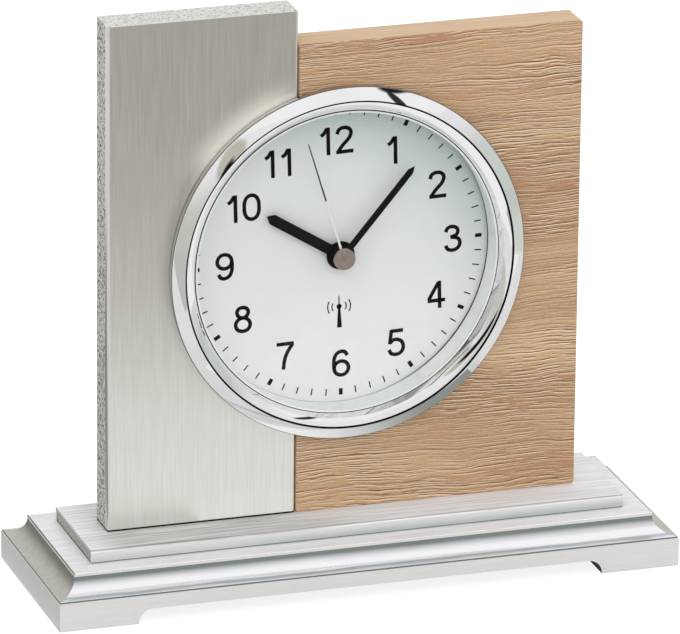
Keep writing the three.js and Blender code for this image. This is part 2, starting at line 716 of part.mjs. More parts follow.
const meshMargin = (pinionLength - wheelThickness) / 2;
trainWheel('third_wheel', thirdPlace, thirdLayer, minuteRotorDirection,
  minuteLayer - meshMargin, thirdLayer + wheelThickness / 2, thirdDirection + 180);
trainWheel('fifth_wheel', fifthPlace, fifthLayer, secondsRotorDirection,
  secondsLayer - meshMargin, fifthLayer + wheelThickness / 2, fifthDirection + 180);

function rotor(name, at, pinionLayer, magnetMiddle, direction) {
  const pinion = gear(pinionTeeth, trainModule, direction + 180, pinionLayer - meshMargin, pinionLength);
  const magnetStart = magnetMiddle - magnetLength / 2;
  const magnet = rod(magnetRadius, layer(magnetStart), layer(magnetStart + magnetLength));
  place(insert, name, join(arbor(), pinion, magnet), 'magnet').position.set(at[0], 0, at[1]);
}

const halfStator = statorThickness / 2;
rotor('minute_rotor', minuteRotorPlace, thirdLayer, minuteStatorLayer + halfStator, minuteRotorDirection);
rotor('seconds_rotor', secondsRotorPlace, fifthLayer, secondsStatorLayer + halfStator, secondsRotorDirection);

// Stators: a flat loop with a round window for the magnet and a limb through the coil
const coilX = innerHalf - coilRadius - coilMargin;
const coilTop = minuteRotorPlace[1] - statorLimb / 2;
const coilFoot = statorFoot + statorLimb + coilFlange / 2;

function motor(prefix, side, at, statorLayer) {
  const from = layer(statorLayer);
  const to = layer(statorLayer + statorThickness);
  const limbX = side * coilX;
  const barX = at[0];
  const across = (x0, x1, z0, z1) => box(Math.min(x0, x1), Math.max(x0, x1), from, to, z0, z1);
  const top = at[1] + statorLimb;
  const limb = across(limbX - statorLimb / 2, limbX + statorLimb / 2, statorFoot, top);
  const bar = across(barX - statorBar / 2, barX + statorBar / 2, statorFoot, at[1]);
  const foot = across(barX, limbX, statorFoot, statorFoot + statorLimb);
  const head = across(barX, limbX, at[1], top);
  const eye = rod(statorRing, from, to).translate(at[0], 0, at[1]);
  const window = rod(magnetRadius + rotorGap, from - overshoot, to + overshoot).translate(at[0], 0, at[1]);
  place(insert, `${prefix}_stator`, cut(join(limb, bar, foot, head, eye), window), 'steel');
  const winding = coilRadius - coilWindingInset;
  const coil = turned([[coilBore, coilFoot], [coilRadius, coilFoot], [coilRadius, coilFoot + coilFlange],
    [winding, coilFoot + coilFlange], [winding, coilTop - coilFlange], [coilRadius, coilTop - coilFlange],
    [coilRadius, coilTop], [coilBore, coilTop]], tubeFacets, 'z');
  place(insert, `${prefix}_coil`, coil, 'copper').position.set(limbX, (from + to) / 2, 0);
}

motor('minute', -1, minuteRotorPlace, minuteStatorLayer);
motor('seconds', 1, secondsRotorPlace, secondsStatorLayer);

// Front case: a tray with a gear space above and an open battery bay below
const floorBack = layer(caseWall);
const bridgeFront = layer(bridgeLayer);
const bridgeBack = layer(bridgeLayer + bridgeThickness);
const pillarPlaces = [[0, bridgeTop - pillarRadius], [pillarLeftX, bridgeFoot + pillarRadius],
  [pillarRightX, bridgeFoot + pillarRadius / 2]];
const pivotHoleRadius = pivotRadius + arborClearance;
const pivotPlaces = [thirdPlace, fifthPlace, minuteRotorPlace, secondsRotorPlace];
const innerCorner = caseCorner - caseWall;
const ferriteZ = innerHalf - ferriteRadius - windingThickness - windingClearance * 2;
const ferriteFloor = layer(ferriteLayer) - ferriteRadius - windingClearance;

function frontCase() {
  const outline = roundedRectangle(-caseHalf, caseHalf, -caseHalf, caseHalf, caseCorner);
  const gearOutline = roundedRectangle(-innerHalf, innerHalf, gearSpaceFoot, innerHalf, innerCorner);
  const bayOutline = roundedRectangle(-innerHalf, innerHalf, -innerHalf, bayTop, innerCorner);
  const gearSpace = prism(gearOutline, floorBack, coverFront + overshoot);
  const bay = prism(bayOutline, floorBack, coverFront + overshoot);
  const tray = cut(prism(outline, movementFront, coverFront), gearSpace, bay);
  const earMiddle = caseHalf + (earReach - caseWall) / 2;
  const earHalf = (earReach + caseWall) / 2;
  const ears = [-earMiddle, earMiddle].map((x) => {
    return box(x - earHalf, x + earHalf, movementFront, earBack, -earHeight / 2, earHeight / 2);
  });
  const bush = rod(bushRadius, dialFace - bushProud, floorBack);
  const post = rod(motionPostRadius, movementFront, layer(motionLayer + wheelThickness), pinFacets)
    .translate(motionPlace[0], 0, motionPlace[1]);
  const pillars = pillarPlaces.map(([x, z]) => {
    return rod(pillarRadius, movementFront, bridgeFront, pinFacets).translate(x, 0, z);
  });
  const saddleX = ferriteLength / 2 - saddleWidth;
  const saddles = [-saddleX, saddleX].map((x) => {
    return box(x - saddleWidth / 2, x + saddleWidth / 2, movementFront, ferriteFloor,
      ferriteZ - ferriteRadius, innerHalf + caseWall / 2);
  });
  const statorPosts = [[-coilX, minuteStatorLayer], [coilX, secondsStatorLayer]].map(([x, depth]) => {
    return box(x - statorLimb / 2, x + statorLimb / 2, movementFront, layer(depth),
      statorFoot, statorFoot + statorLimb);
  });
  const bushHole = rod(bushBore, dialFace - bushProud - overshoot, floorBack + overshoot);
  const pivotFloor = layer(pivotStart - arborClearance);
  const pivotHoles = pivotPlaces.map(([x, z]) => {
    return rod(pivotHoleRadius, pivotFloor, floorBack + overshoot, pinFacets).translate(x, 0, z);
  });
  const body = join(tray, ...ears, bush, post, ...pillars, ...saddles, ...statorPosts);
  return cut(body, bushHole, ...pivotHoles, ...earScrewHoles);
}

place(insert, 'movement_front_case', frontCase(), 'blackPlastic');

// Rear cover over the gear space, open below for the battery
const buttonPlaces = [-1, 0, 1].map((step) => [step * buttonSpacing, buttonHeight]);
const coverOutline = roundedRectangle(-caseHalf, caseHalf, -caseHalf, caseHalf, caseCorner);
const bayOpening = box(-caseHalf - overshoot, caseHalf + overshoot,
  coverFront - overshoot, coverBack + overshoot, -caseHalf - overshoot, bayTop);
const buttonHoles = buttonPlaces.map(([x, z]) => {
  const holeRadius = buttonRadius + buttonClearance;
  return rod(holeRadius, coverFront - overshoot, coverBack + overshoot, pinFacets).translate(x, 0, z);
});
const coverPlate = prism(coverOutline, coverFront, coverBack);
place(insert, 'movement_rear_cover', cut(coverPlate, bayOpening, ...buttonHoles), 'blackPlastic');
const buttonNames = ['set_button', 'receive_button', 'reset_button'];
const flangeBack = coverFront - buttonClearance;
const flangeFront = flangeBack - buttonFlangeThickness;
const keyTop = coverBack + buttonProud;
buttonPlaces.forEach(([x, z], i) => {
  const key = turned([[0, flangeFront], [buttonFlange, flangeFront], [buttonFlange, flangeBack],
    [buttonRadius, flangeBack], [buttonRadius, keyTop], [0, keyTop]], pinFacets);
  place(insert, buttonNames[i], key, 'buttonGrey').position.set(x, 0, z);
});

// Bridge over the train, with the circuit board on its back
const bridgeBlank = box(-bridgeHalfWidth, bridgeHalfWidth, bridgeFront, bridgeBack, bridgeFoot, bridgeTop);
const bridgeHoles = pivotPlaces.map(([x, z]) => {
  return rod(pivotHoleRadius, bridgeFront - overshoot, bridgeBack + overshoot, pinFacets).translate(x, 0, z);
});
const shaftHole = rod(minuteTubeBore, bridgeFront - overshoot, bridgeBack + overshoot);
place(insert, 'train_bridge', cut(bridgeBlank, shaftHole, ...bridgeHoles), 'whitePlastic');
const boardBack = bridgeBack + boardThickness;
const boardBlank = box(-bridgeHalfWidth, bridgeHalfWidth, bridgeBack, boardBack, bridgeFoot, bridgeTop);
place(insert, 'circuit_board', boardBlank, 'boardGreen');
const crystal = rod(crystalRadius, -crystalLength / 2, crystalLength / 2, pinFacets, 'x');
const crystalY = boardBack + crystalRadius + crystalGap;
const crystalZ = (buttonHeight + buttonFlange + bridgeTop) / 2;
place(insert, 'quartz_crystal', crystal, 'steel').position.set(0, crystalY, crystalZ);

// Antenna along the top of the case
const ferrite = rod(ferriteRadius, -ferriteLength / 2, ferriteLength / 2, tubeFacets, 'x');
const winding = ring(ferriteRadius + windingClearance, ferriteRadius + windingClearance + windingThickness,
  -windingLength / 2, windingLength / 2, tubeFacets, 'x');
place(insert, 'ferrite_rod', ferrite, 'ferrite').position.set(0, layer(ferriteLayer), ferriteZ);
place(insert, 'antenna_winding', winding, 'copper').position.set(0, layer(ferriteLayer), ferriteZ);

// Battery in its bay between two sheet contacts
const batteryY = floorBack + batteryClearance + batteryRadius;
const batteryZ = -innerHalf + batteryClearance + batteryRadius;
const cellStart = -(batteryLength + batteryNub) / 2;
const cellEnd = cellStart + batteryLength;
const nubEnd = cellEnd + batteryNub;
const cell = turned([[0, cellStart], [batteryRadius, cellStart], [batteryRadius, cellEnd],
  [batteryNubRadius, cellEnd], [batteryNubRadius, nubEnd], [0, nubEnd]], tubeFacets, 'x');
place(insert, 'battery', cell, 'batteryJacket').position.set(0, batteryY, batteryZ);
const stripFoot = batteryZ - contactWidth / 2;
const stripHead = batteryZ + contactWidth / 2;

// A strip along the end wall whose middle bows out to the end of the cell
function contactStrip(side) {
  const wallX = side * innerHalf;
  const skin = wallX - side * contactThickness;
  const nose = -side * (cellStart - contactGap);
  const outline = polygon([[wallX, floorBack], [wallX, coverFront], [skin, coverFront],
    [nose, batteryY + contactNose], [nose, batteryY - contactNose], [skin, floorBack]]);
  return column(outline, stripFoot, stripHead);
}

place(insert, 'battery_contact_positive', contactStrip(1), 'steel');
place(insert, 'battery_contact_negative', contactStrip(-1), 'steel');

export default clock;
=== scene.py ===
# %% [markdown]
# # A radio-controlled table clock
# Two flush panels, one of brushed aluminium and one of oak, stand on a stepped metal base and hold a round
# chromed clock between them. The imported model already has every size, joint and place, so this lesson
# builds finely rounded surfaces and procedural finishes round it, in the same frame and in millimetres.

import json
import math

import bmesh
import bpy
import numpy as np
from mathutils import Matrix, Vector


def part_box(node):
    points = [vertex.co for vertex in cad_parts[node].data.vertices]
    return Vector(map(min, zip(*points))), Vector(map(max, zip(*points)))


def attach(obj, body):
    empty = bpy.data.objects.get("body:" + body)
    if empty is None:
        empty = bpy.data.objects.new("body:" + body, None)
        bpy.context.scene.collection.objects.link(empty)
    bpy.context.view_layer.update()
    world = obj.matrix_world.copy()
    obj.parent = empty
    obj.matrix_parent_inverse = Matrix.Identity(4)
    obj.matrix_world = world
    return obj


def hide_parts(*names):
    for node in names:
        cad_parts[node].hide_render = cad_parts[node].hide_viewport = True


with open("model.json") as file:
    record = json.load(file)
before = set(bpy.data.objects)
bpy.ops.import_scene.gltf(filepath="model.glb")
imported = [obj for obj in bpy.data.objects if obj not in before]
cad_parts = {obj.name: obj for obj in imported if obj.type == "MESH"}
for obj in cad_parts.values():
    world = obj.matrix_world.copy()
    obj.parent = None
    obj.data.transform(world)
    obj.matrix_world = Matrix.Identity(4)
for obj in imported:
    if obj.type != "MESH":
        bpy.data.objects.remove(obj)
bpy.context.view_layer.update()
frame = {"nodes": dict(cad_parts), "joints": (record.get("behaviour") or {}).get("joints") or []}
MM = 0.001


# %% Places that come from the frame
def reach(node):
    """Lowest and highest corner of a CAD node at rest, in millimetres."""
    low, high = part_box(node)
    return np.array(low) / MM, np.array(high) / MM


def round_reach(node):
    """Both corners of a round node, its middle, and its radius as half its width in x."""
    low, high = reach(node)
    return low, high, (low + high) / 2, (high[0] - low[0]) / 2


pivots = {j["name"]: np.array(j.get("pos_m", (0, 0, 0))) / MM for j in frame["joints"]}
arbor = pivots["minute_turn"]
print("hands turn about x", round(arbor[0], 2), "z", round(arbor[2], 2))

# %% [markdown]
# ## Camera
# A product picture is taken from far off with a long lens, so that upright edges stay nearly parallel. The
# angle, distance and lens were fitted to the corners of the base and panels. The camera's axes are written
# straight into its matrix, which also takes the slight roll of the picture.

# %% Camera
AZIMUTH, ELEVATION, ROLL = map(math.radians, (-18.06, 19.47, 0.589))
CAMERA_DISTANCE, CAMERA_REACH = 2369.4, 20
CAMERA_AIM = np.array((-0.663, 0.0, 76.82))
FOCAL_PIXELS, PICTURE_WIDTH, SENSOR = 8108.4, 680, 36.0

back = np.array((math.sin(AZIMUTH) * math.cos(ELEVATION), -math.cos(AZIMUTH) * math.cos(ELEVATION),
                 math.sin(ELEVATION)))
level = np.array((math.cos(AZIMUTH), math.sin(AZIMUTH), 0.0))
upright = np.cross(back, level)
right = math.cos(ROLL) * level + math.sin(ROLL) * upright
up = math.cos(ROLL) * upright - math.sin(ROLL) * level
eye = (CAMERA_AIM + CAMERA_DISTANCE * back) * MM
camera_data = bpy.data.cameras.new("camera")
camera_data.sensor_width = SENSOR
camera_data.lens = FOCAL_PIXELS / PICTURE_WIDTH * SENSOR
camera_data.clip_end = CAMERA_REACH
camera = bpy.data.objects.new("camera", camera_data)
camera.matrix_world = Matrix([[*row, place] for row, place in zip(np.stack([right, up, back], 1), eye)]
                             + [[0, 0, 0, 1]])
bpy.context.scene.collection.objects.link(camera)
bpy.context.scene.camera = camera
bpy.context.scene.view_settings.view_transform = "Standard"
print("camera at", np.round(eye, 3), "lens", round(camera_data.lens, 1))

# %% [markdown]
# ## Shader arithmetic
# A finish is a formula over the surface. Node editors draw formulas as boxes and wires, which is slow to
# read in a script, so one small class lets Python's own operators add the Math nodes. Every other node
# comes from its `node` method: type first, then settings, then what goes into its sockets.


# %% A socket that can be calculated with
class Wire:
    """An output socket of a node tree. + - * / add Math nodes, and node() adds any other node."""

    def __init__(self, tree, socket=None):
        self.tree = tree
        self.socket = socket

    def node(self, kind, settings=None, sockets=None, output=0):
        """A node of that type: its settings are set first, then each socket gets a value or a link."""
        made = self.tree.nodes.new("ShaderNode" + kind)
        for name, value in (settings or {}).items():
            setattr(made, name, value)
        for name, value in (sockets or {}).items():
            if isinstance(value, Wire):
                self.tree.links.new(value.socket, made.inputs[name])
            else:
                made.inputs[name].default_value = value
        return Wire(self.tree, made.outputs[output])

    def math(self, operation, *others):
        """A Math node: this wire goes in first, then the others."""
        return self.node("Math", {"operation": operation}, dict(enumerate((self, *others))))

    def __add__(self, other):
        return self.math("ADD", other)

    def __sub__(self, other):
        return self.math("SUBTRACT", other)

    def __rsub__(self, other):
        return self.node("Math", {"operation": "SUBTRACT"}, {0: other, 1: self})

    def __mul__(self, other):
        return self.math("MULTIPLY", other)

    def __truediv__(self, other):
        return self.math("DIVIDE", other)

    __radd__ = __add__
    __rmul__ = __mul__

    def between(self, low, high):
        """0 below low, 1 above high, with a smooth rise; low may be the larger one."""
        return self.node("MapRange", {"interpolation_type": "SMOOTHSTEP"},
                         {"Value": self, "From Min": low, "From Max": high})

    def contrast(self, half=0.2):
        """0 to 1 over the middle of a noise's range, from half below 0.5 to half above it."""
        return self.between(0.5 - half, 0.5 + half)

    def mix(self, first, second):
        """A colour that is first where this is 0 and second where it is 1. Either may be given as digits."""
        first, second = (linear(colour) if isinstance(colour, str) else colour for colour in (first, second))
        return self.node("Mix", {"data_type": "RGBA"}, {0: self, 6: first, 7: second}, output=2)

    def noise(self, scale, detail=2.0, roughness=0.5):
        """Noise over this vector, from 0 to 1. Scale is one number, or one for each direction."""
        scales = np.broadcast_to(scale, 3)
        stretched = self.node("VectorMath", {"operation": "MULTIPLY"}, {0: self, 1: scales})
        return self.node("TexNoise", {}, {"Vector": stretched, "Scale": 1.0, "Detail": detail,
                                          "Roughness": roughness})


def linear(code):
    """A colour written as sRGB hexadecimal digits, as the linear numbers that shaders use."""
    value = np.array([int(code[i:i + 2], 16) / 255 for i in (0, 2, 4)])
    low, high = value / 12.92, ((value + 0.055) / 1.055) ** 2.4
    return (*np.where(value > 0.04045, high, low), 1.0)


X, Y, Z = range(3)


def parts(place):
    """The x, y and z of a place, as three wires."""
    return [place.node("SeparateXYZ", {}, {0: place}, output=axis) for axis in (X, Y, Z)]


def most(wires):
    """The greatest of some wires, place by place."""
    result = wires[0]
    for wire in wires[1:]:
        result = result.math("MAXIMUM", wire)
    return result


# %% One material from one recipe
def finish(name, recipe, **constants):
    """A Principled material: constants are set on the shader's own sockets, and the recipe links the rest.
    The recipe gets the place on the surface, in millimetres, and gives back what feeds each socket. A
    result named Height goes through a Bump node, also in millimetres."""
    material = bpy.data.materials.new(name)
    material.use_nodes = True
    tree = material.node_tree
    shader = tree.nodes["Principled BSDF"]
    for socket, value in constants.items():
        shader.inputs[socket.replace("_", " ")].default_value = value
    start = Wire(tree)
    metres = start.node("TexCoord", output="Object")
    place = start.node("VectorMath", {"operation": "SCALE"}, {0: metres, "Scale": 1 / MM})
    results = recipe(place)
    if "Height" in results:
        results["Normal"] = start.node("Bump", {}, {"Height": results.pop("Height"), "Distance": MM})
    for socket, wire in results.items():
        tree.links.new(wire.socket, shader.inputs[socket])
    return material


# %% [markdown]
# ## Stage and light
# The picture is a cut-out on white, lit by big soft boxes. A floor and a surround bright enough to look
# white would flood the clock with light, so both ask what kind of ray meets them. What the camera, a mirror
# or glass sees is white, and the light that falls on things is a good deal less. The floor keeps part of its
# shading, so the clock still has a shadow.

# %% World and floor
SURROUND = 0.66
FLOOR_SIZE = 6.0
FLOOR_PLAIN, FLOOR_SHADED = 0.8, 0.4
FLOOR_GLOW, MIRRORED_FLOOR = 0.84, 0.57


def grey(value):
    """An even grey as a shader's colour."""
    return value, value, value, 1


def seen(start):
    """1 for rays from the camera, a mirror or glass, and 0 for the light that falls on things."""
    kinds = ("Camera", "Glossy", "Transmission")
    return most([start.node("LightPath", output=f"Is {kind} Ray") for kind in kinds])


world = bpy.data.worlds.new("surround")
world.use_nodes = True
bpy.context.scene.world = world
sky = seen(Wire(world.node_tree)).mix(grey(SURROUND), grey(1))
world.node_tree.links.new(sky.socket, world.node_tree.nodes["Background"].inputs["Color"])


def shaded(name, shader):
    """A material whose surface is what shader(start) builds."""
    material = bpy.data.materials.new(name)
    material.use_nodes = True
    tree = material.node_tree
    tree.links.new(shader(Wire(tree)).socket, tree.nodes["Material Output"].inputs["Surface"])
    return material


def floor_shader(start):
    """Plain white for the light that falls on things. Where it is seen, it glows under weaker shading, and a
    mirror sees less of the glow."""
    plain = start.node("BsdfDiffuse", {}, {"Color": grey(FLOOR_PLAIN)})
    weaker = start.node("BsdfDiffuse", {}, {"Color": grey(FLOOR_SHADED)})
    pale = start.node("LightPath", output="Is Glossy Ray").mix(grey(1), grey(MIRRORED_FLOOR))
    glow = start.node("Emission", {}, {"Color": pale, "Strength": FLOOR_GLOW})
    bright = start.node("AddShader", {}, {0: weaker, 1: glow})
    return start.node("MixShader", {}, {0: seen(start), 1: plain, 2: bright})


def flat(name, corners, material):
    """A flat four-cornered stage piece."""
    mesh = bpy.data.meshes.new(name)
    mesh.from_pydata(corners, [], [(0, 1, 2, 3)])
    mesh.materials.append(material)
    made = bpy.data.objects.new(name, mesh)
    bpy.context.scene.collection.objects.link(made)
    return made


half = FLOOR_SIZE / 2
flat("floor", [(-half, -half, 0), (half, -half, 0), (half, half, 0), (-half, half, 0)],
     shaded("pale_floor", floor_shader))
print("surround", SURROUND, "floor", FLOOR_SIZE, "m")


# %% Soft boxes
def soft_box(name, place, aim, size, radiance):
    """A square lamp that faces a point. Its power is its radiance times pi times its area."""
    data = bpy.data.lights.new(name, "AREA")
    data.shape = "SQUARE"
    data.size = size
    data.energy = radiance * math.pi * size * size
    lamp = bpy.data.objects.new(name, data)
    lamp.location = place
    lamp.rotation_euler = (Vector(aim) - Vector(place)).to_track_quat("-Z", "Y").to_euler()
    lamp.visible_glossy = False
    bpy.context.scene.collection.objects.link(lamp)
    print(name, round(data.energy, 2), "W")


CLOCK_MIDDLE = (0, 0, 0.08)
soft_box("key_box", (-1.1, -1.5, 1.7), CLOCK_MIDDLE, 1.3, 1.5)
soft_box("fill_box", (1.5, -1.3, 1.2), CLOCK_MIDDLE, 1.2, 0.7)
soft_box("top_box", (0.2, 0.7, 1.9), CLOCK_MIDDLE, 1.3, 0.8)
soft_box("front_box", (-0.2, -2.4, 1.0), CLOCK_MIDDLE, 1.5, 1.8)

# %% [markdown]
# ## Cards that the metal mirrors
# Polished metal shows what stands round it, so a photographer sets pale and dark cards about the object
# until its edges read well. Real cards would shade the clock and could show in the picture. These glow by
# themselves, and only mirror reflections see them. Each stands where a ray from the camera goes after the
# bezel, the panel or the base has mirrored it.

# %% Kinds of card
CARD_FADE = 0.45


def mirrored(name, corners, colour, cover=None):
    """A flat stage piece that only mirror reflections see, glowing in a colour worked out from the place in
    metres. Where cover falls to 0 it is clear."""

    def shader(start):
        place = start.node("TexCoord", output="Object")
        light = start.node("Emission", {}, {"Color": colour(place), "Strength": 1.0})
        if cover is None:
            return light
        return start.node("MixShader", {}, {0: cover(place), 1: start.node("BsdfTransparent"), 2: light})

    made = flat(name, corners, shaded(name, shader))
    for ray in ("camera", "diffuse", "transmission", "shadow"):
        setattr(made, f"visible_{ray}", False)


def card(name, corners, near, far=None, axis=X, near_place=0.0, far_place=1.0):
    """A card of one tone, or of a tone that runs from near to far along one axis."""

    def colour(place):
        if far is None:
            return linear(near)
        return parts(place)[axis].between(near_place, far_place).mix(near, far)

    mirrored(name, corners, colour)


def upright_card(y, left, right, top):
    """Corners of a card that stands across the view."""
    return [(left, y, 0.0), (right, y, 0.0), (right, y, top), (left, y, top)]


def floor_card(*corners, lift=0.5 * MM):
    """Corners (x, y) of a card that lies on the floor, or a little above it where cards overlap."""
    return [(x, y, lift) for x, y in corners]


def tread_card(left, right, lift):
    """Corners of a card that lies on the step in front of the panels, from sizes in millimetres."""
    front, height = step_low[1] * MM, (step_high[2] + lift) * MM
    left, right, rear = left * MM, right * MM, TREAD_REAR * MM
    return [(left, front, height), (right, front, height), (right, rear, height), (left, rear, height)]


def soft_card(name, direction, width, height, tone, distance=1.3):
    """A card in one direction from the clock, turned to face it. It fades out over an oval: the squares of
    the shares of half its width and half its height add up to 1 at the rim."""
    towards = Vector(direction).normalized()
    middle = Vector(CLOCK_MIDDLE) + distance * towards
    side = towards.cross(Vector((0, 0, 1))).normalized()
    across, along = side * width / 2, side.cross(towards) * height / 2

    def share(offset, axis):
        sockets = {0: offset, 1: axis / axis.length_squared}
        return offset.node("VectorMath", {"operation": "DOT_PRODUCT"}, sockets, output="Value")

    def cover(place):
        offset = place.node("VectorMath", {"operation": "SUBTRACT"}, {0: place, 1: middle})
        wide, high = share(offset, across), share(offset, along)
        return (wide * wide + high * high).between(1.0, CARD_FADE)

    corners = [middle + i * across + j * along for i, j in ((-1, -1), (1, -1), (1, 1), (-1, 1))]
    mirrored(name, corners, lambda place: linear(tone), cover)


# %% Cards in their places
TREAD_REAR, SHADE_LEFT, SHADE_RIGHT = -6.5, -45.0, 75.0
step_low, step_high = reach("step_sheet")
card("near_card", floor_card((-0.08, -0.25), (0.30, -0.25), (0.30, -0.06), (-0.08, -0.06), lift=0.3 * MM),
     "ffffff")
card("rim_card", floor_card((-1.6, -1.4), (-0.5, -1.4), (-0.18, -0.25), (-0.146, -0.131)),
     "c8c8c4", "cfcfc8", Y, -0.14, -0.6)
card("far_card", floor_card((-0.2, -1.4), (1.2, -1.4), (0.12, -0.23), (-0.05, -0.17)),
     "c6c5c1", "bfbdb8", Y, -0.14, -0.6)
card("panel_card", floor_card((-0.05, -0.95), (0.5, -0.95), (0.26, -0.25), (-0.04, -0.25), lift=0.9 * MM),
     "c2c0bb", "817c74", Y, -0.22, -0.42)
card("right_card", floor_card((0.31, -1.3), (1.6, -1.3), (1.6, 0.8), (0.31, 0.8), lift=0.8 * MM),
     "dde2dc", "ced4cf", X, 0.31, 0.8)
card("right_wall_card", [(1.5, -1.3, 0), (1.5, 0.7, 0), (1.5, 0.7, 0.9), (1.5, -1.3, 0.9)],
     "d3d9d4", "f4f2f6", Z, 0.3, 0.75)
card("front_card", upright_card(-1.4, -2.6, 1.8, 1.0), "cfcfc8", "f6f5f7", Z, 0.1, 0.65)
card("left_card", upright_card(1.2, -1.2, -0.06, 0.7), "6f6b63", "c4c0b7", Z, 0.0, 0.6)
card("left_floor_card", floor_card((-0.25, -0.03), (-0.098, -0.03), (-0.098, 0.3), (-0.25, 0.3)),
     "5f5b54", "807c73", X, -0.1, -0.25)
card("tread_card", tread_card(step_low[0], step_high[0], 0.2), "d8deda")
card("tread_shade", tread_card(SHADE_LEFT, SHADE_RIGHT, 0.25), "ffffff", "969a96", X, -0.022, 0.05)
soft_card("beige_card", (-0.40, -0.84, 0.365), 0.34, 0.5, "c6c3b4", 1.45)
soft_card("lens_card", (-0.412, -0.89, 0.175), 0.15, 0.62, "161514")
soft_card("gap_card", (0.521, -0.681, 0.515), 0.09, 0.40, "343636")
soft_card("wedge_card", (0.52, -0.56, 0.645), 0.34, 0.24, "202222")
soft_card("key_glow", (-0.45, -0.61, 0.66), 0.9, 0.7, "ffffff", 2.0)
print("materials so far:", len(bpy.data.materials))

# %% [markdown]
# ## Metal finishes
# Brushed metal is fine parallel scratches. A picture of scratches would blur close up, so noise that is
# squeezed across the brush and stretched along it drives colour, roughness and bump together. Chrome and
# polished aluminium are nearly even, with faint smears in their gloss.

# %% Brushed, satin and polished metal
BRUSH_FINE, BRUSH_BROAD, BRUSH_COARSE = 3.6, 1.1, 1.3
HAIR_LENGTH, BAND_LENGTH, STREAK_LENGTH = 0.07, 0.02, 0.04


def combed(place, along, across, length, detail, roughness):
    """Noise with the scale length along one axis and the scale across in the other two."""
    scale = np.full(3, across)
    scale[along] = length
    return place.noise(scale, detail, roughness)


def hairs(place, along):
    """The fine scratches of a brush."""
    return combed(place, along, BRUSH_FINE, HAIR_LENGTH, 2.0, 0.6)


def streaks(place):
    """Coarse streaks along x, as a sanding belt leaves them."""
    return combed(place, X, BRUSH_COARSE, STREAK_LENGTH, 3.0, 0.65)


def brush_tone(place, along, hair):
    """0 to 1 over brushed metal: mostly its hairs, with a share of broad bands."""
    band = combed(place, along, BRUSH_BROAD, BAND_LENGTH, 2.0, 0.5)
    return (0.8 * hair + 0.2 * band).contrast()


def brushed(name, along, dark, light, metal=0.9, rough=0.34, depth=0.012):
    """Metal brushed along one axis, between a dark and a light tone."""

    def recipe(place):
        hair = hairs(place, along)
        colour = brush_tone(place, along, hair).mix(dark, light)
        return {"Base Color": colour, "Roughness": rough + 0.12 * hair, "Height": depth * hair}

    return finish(name, recipe, Metallic=metal)


def dimmed(colour, share):
    """A colour from its digits, less that share of its light."""
    return (*((1 - share) * value for value in linear(colour)[:3]), 1.0)


def polished(name, colour, rough, smear=0.03, scale=0.08, **constants):
    """Even bright metal with faint smears in its gloss."""

    def recipe(place):
        cloud = place.noise(scale, 3.0, 0.6)
        tone = cloud.contrast().mix(dimmed(colour, 0.05), colour)
        return {"Base Color": tone, "Roughness": rough + smear * cloud}

    return finish(name, recipe, **{"Metallic": 1.0, **constants})


def from_arbor(place):
    """Wires for the way right and the way up from the arbor, and for the distance from it."""
    x, _, z = parts(place)
    across, rise = x - arbor[0], z - arbor[2]
    return across, rise, (across * across + rise * rise).math("SQRT")


# %% Metal of this clock
GLOW_REACH, GLOW_AIM, GLOW_SPREAD = 9.0, (-0.588, 0.809), (0.90, 0.99)
bezel_radius = round_reach("bezel_ring")[3]


def panel_recipe(place):
    """Aluminium brushed upwards. Above and left of the dial a painted glow stands for the light that the
    chromed ring throws on it; it fades with the distance from the ring and with the angle from the glow's
    middle."""
    across, rise, out = from_arbor(place)
    hair = hairs(place, Z)
    aim = (GLOW_AIM[0] * across + GLOW_AIM[1] * rise) / out
    glow = out.between(bezel_radius + GLOW_REACH, bezel_radius) * aim.between(*GLOW_SPREAD)
    colour = glow.mix(brush_tone(place, Z, hair).mix("dbd9d3", "e5e4df"), "fbf8ee")
    return {"Base Color": colour, "Roughness": 0.25 + 0.12 * hair, "Metallic": 0.88 - 0.5 * glow * glow,
            "Height": 0.012 * hair}


sheet_upright = finish("aluminium_brushed_upright", panel_recipe)
satin = brushed("satin_silver", X, "d9d9d7", "e0e0df", metal=0.12, rough=0.5, depth=0.002)
chrome = polished("chrome_plate", "eeeeee", 0.015, 0.02)
# The outer wall of the bezel gets a dimmer copy of the chrome: painted shade.
bezel_side_painted_shade = polished("bezel_side_painted_shade", "c4c4c0", 0.12)
# The rounded corner at the rim's outer edge gets a dark grey metal: a painted shade line.
bezel_edge_painted_shade = polished("bezel_edge_painted_shade", "7c7c78", 0.2)
bright_ring = polished("reflector_plate", "f4f7f5", 0.36, Metallic=0.35)
steel = polished("zinc_steel", "b9b9b6", 0.28, 0.12, 0.6)
print("metal finishes:", [metal.name for metal in (sheet_upright, satin, chrome, bright_ring, steel)])

# %% [markdown]
# ## Oak
# The veneer of the lower panel is brushed oak: pale wood with darker grooves along the grain. A wave texture
# gives even stripes, which look like printed foil. Here the height on the panel is bent by noise and cut into
# layers, as growth rings are, and every layer has a groove that comes and goes along its length.

# %% Oak
GRAIN_LAYERS = ((0.75, 0.0, 0.7, 7.0), (1.2, 17.0, 0.9, 9.0), (1.8, 31.0, 1.0, 12.0), (3.1, 67.0, 1.0, 18.0))
GRAIN_DRIFT, GRAIN_RIPPLE, GRAIN_JITTER = 14.0, 3.6, 1.1
GROOVE_THIN = 0.29
ROSY_LOW, ROSY_HIGH = 125.0, 150.0


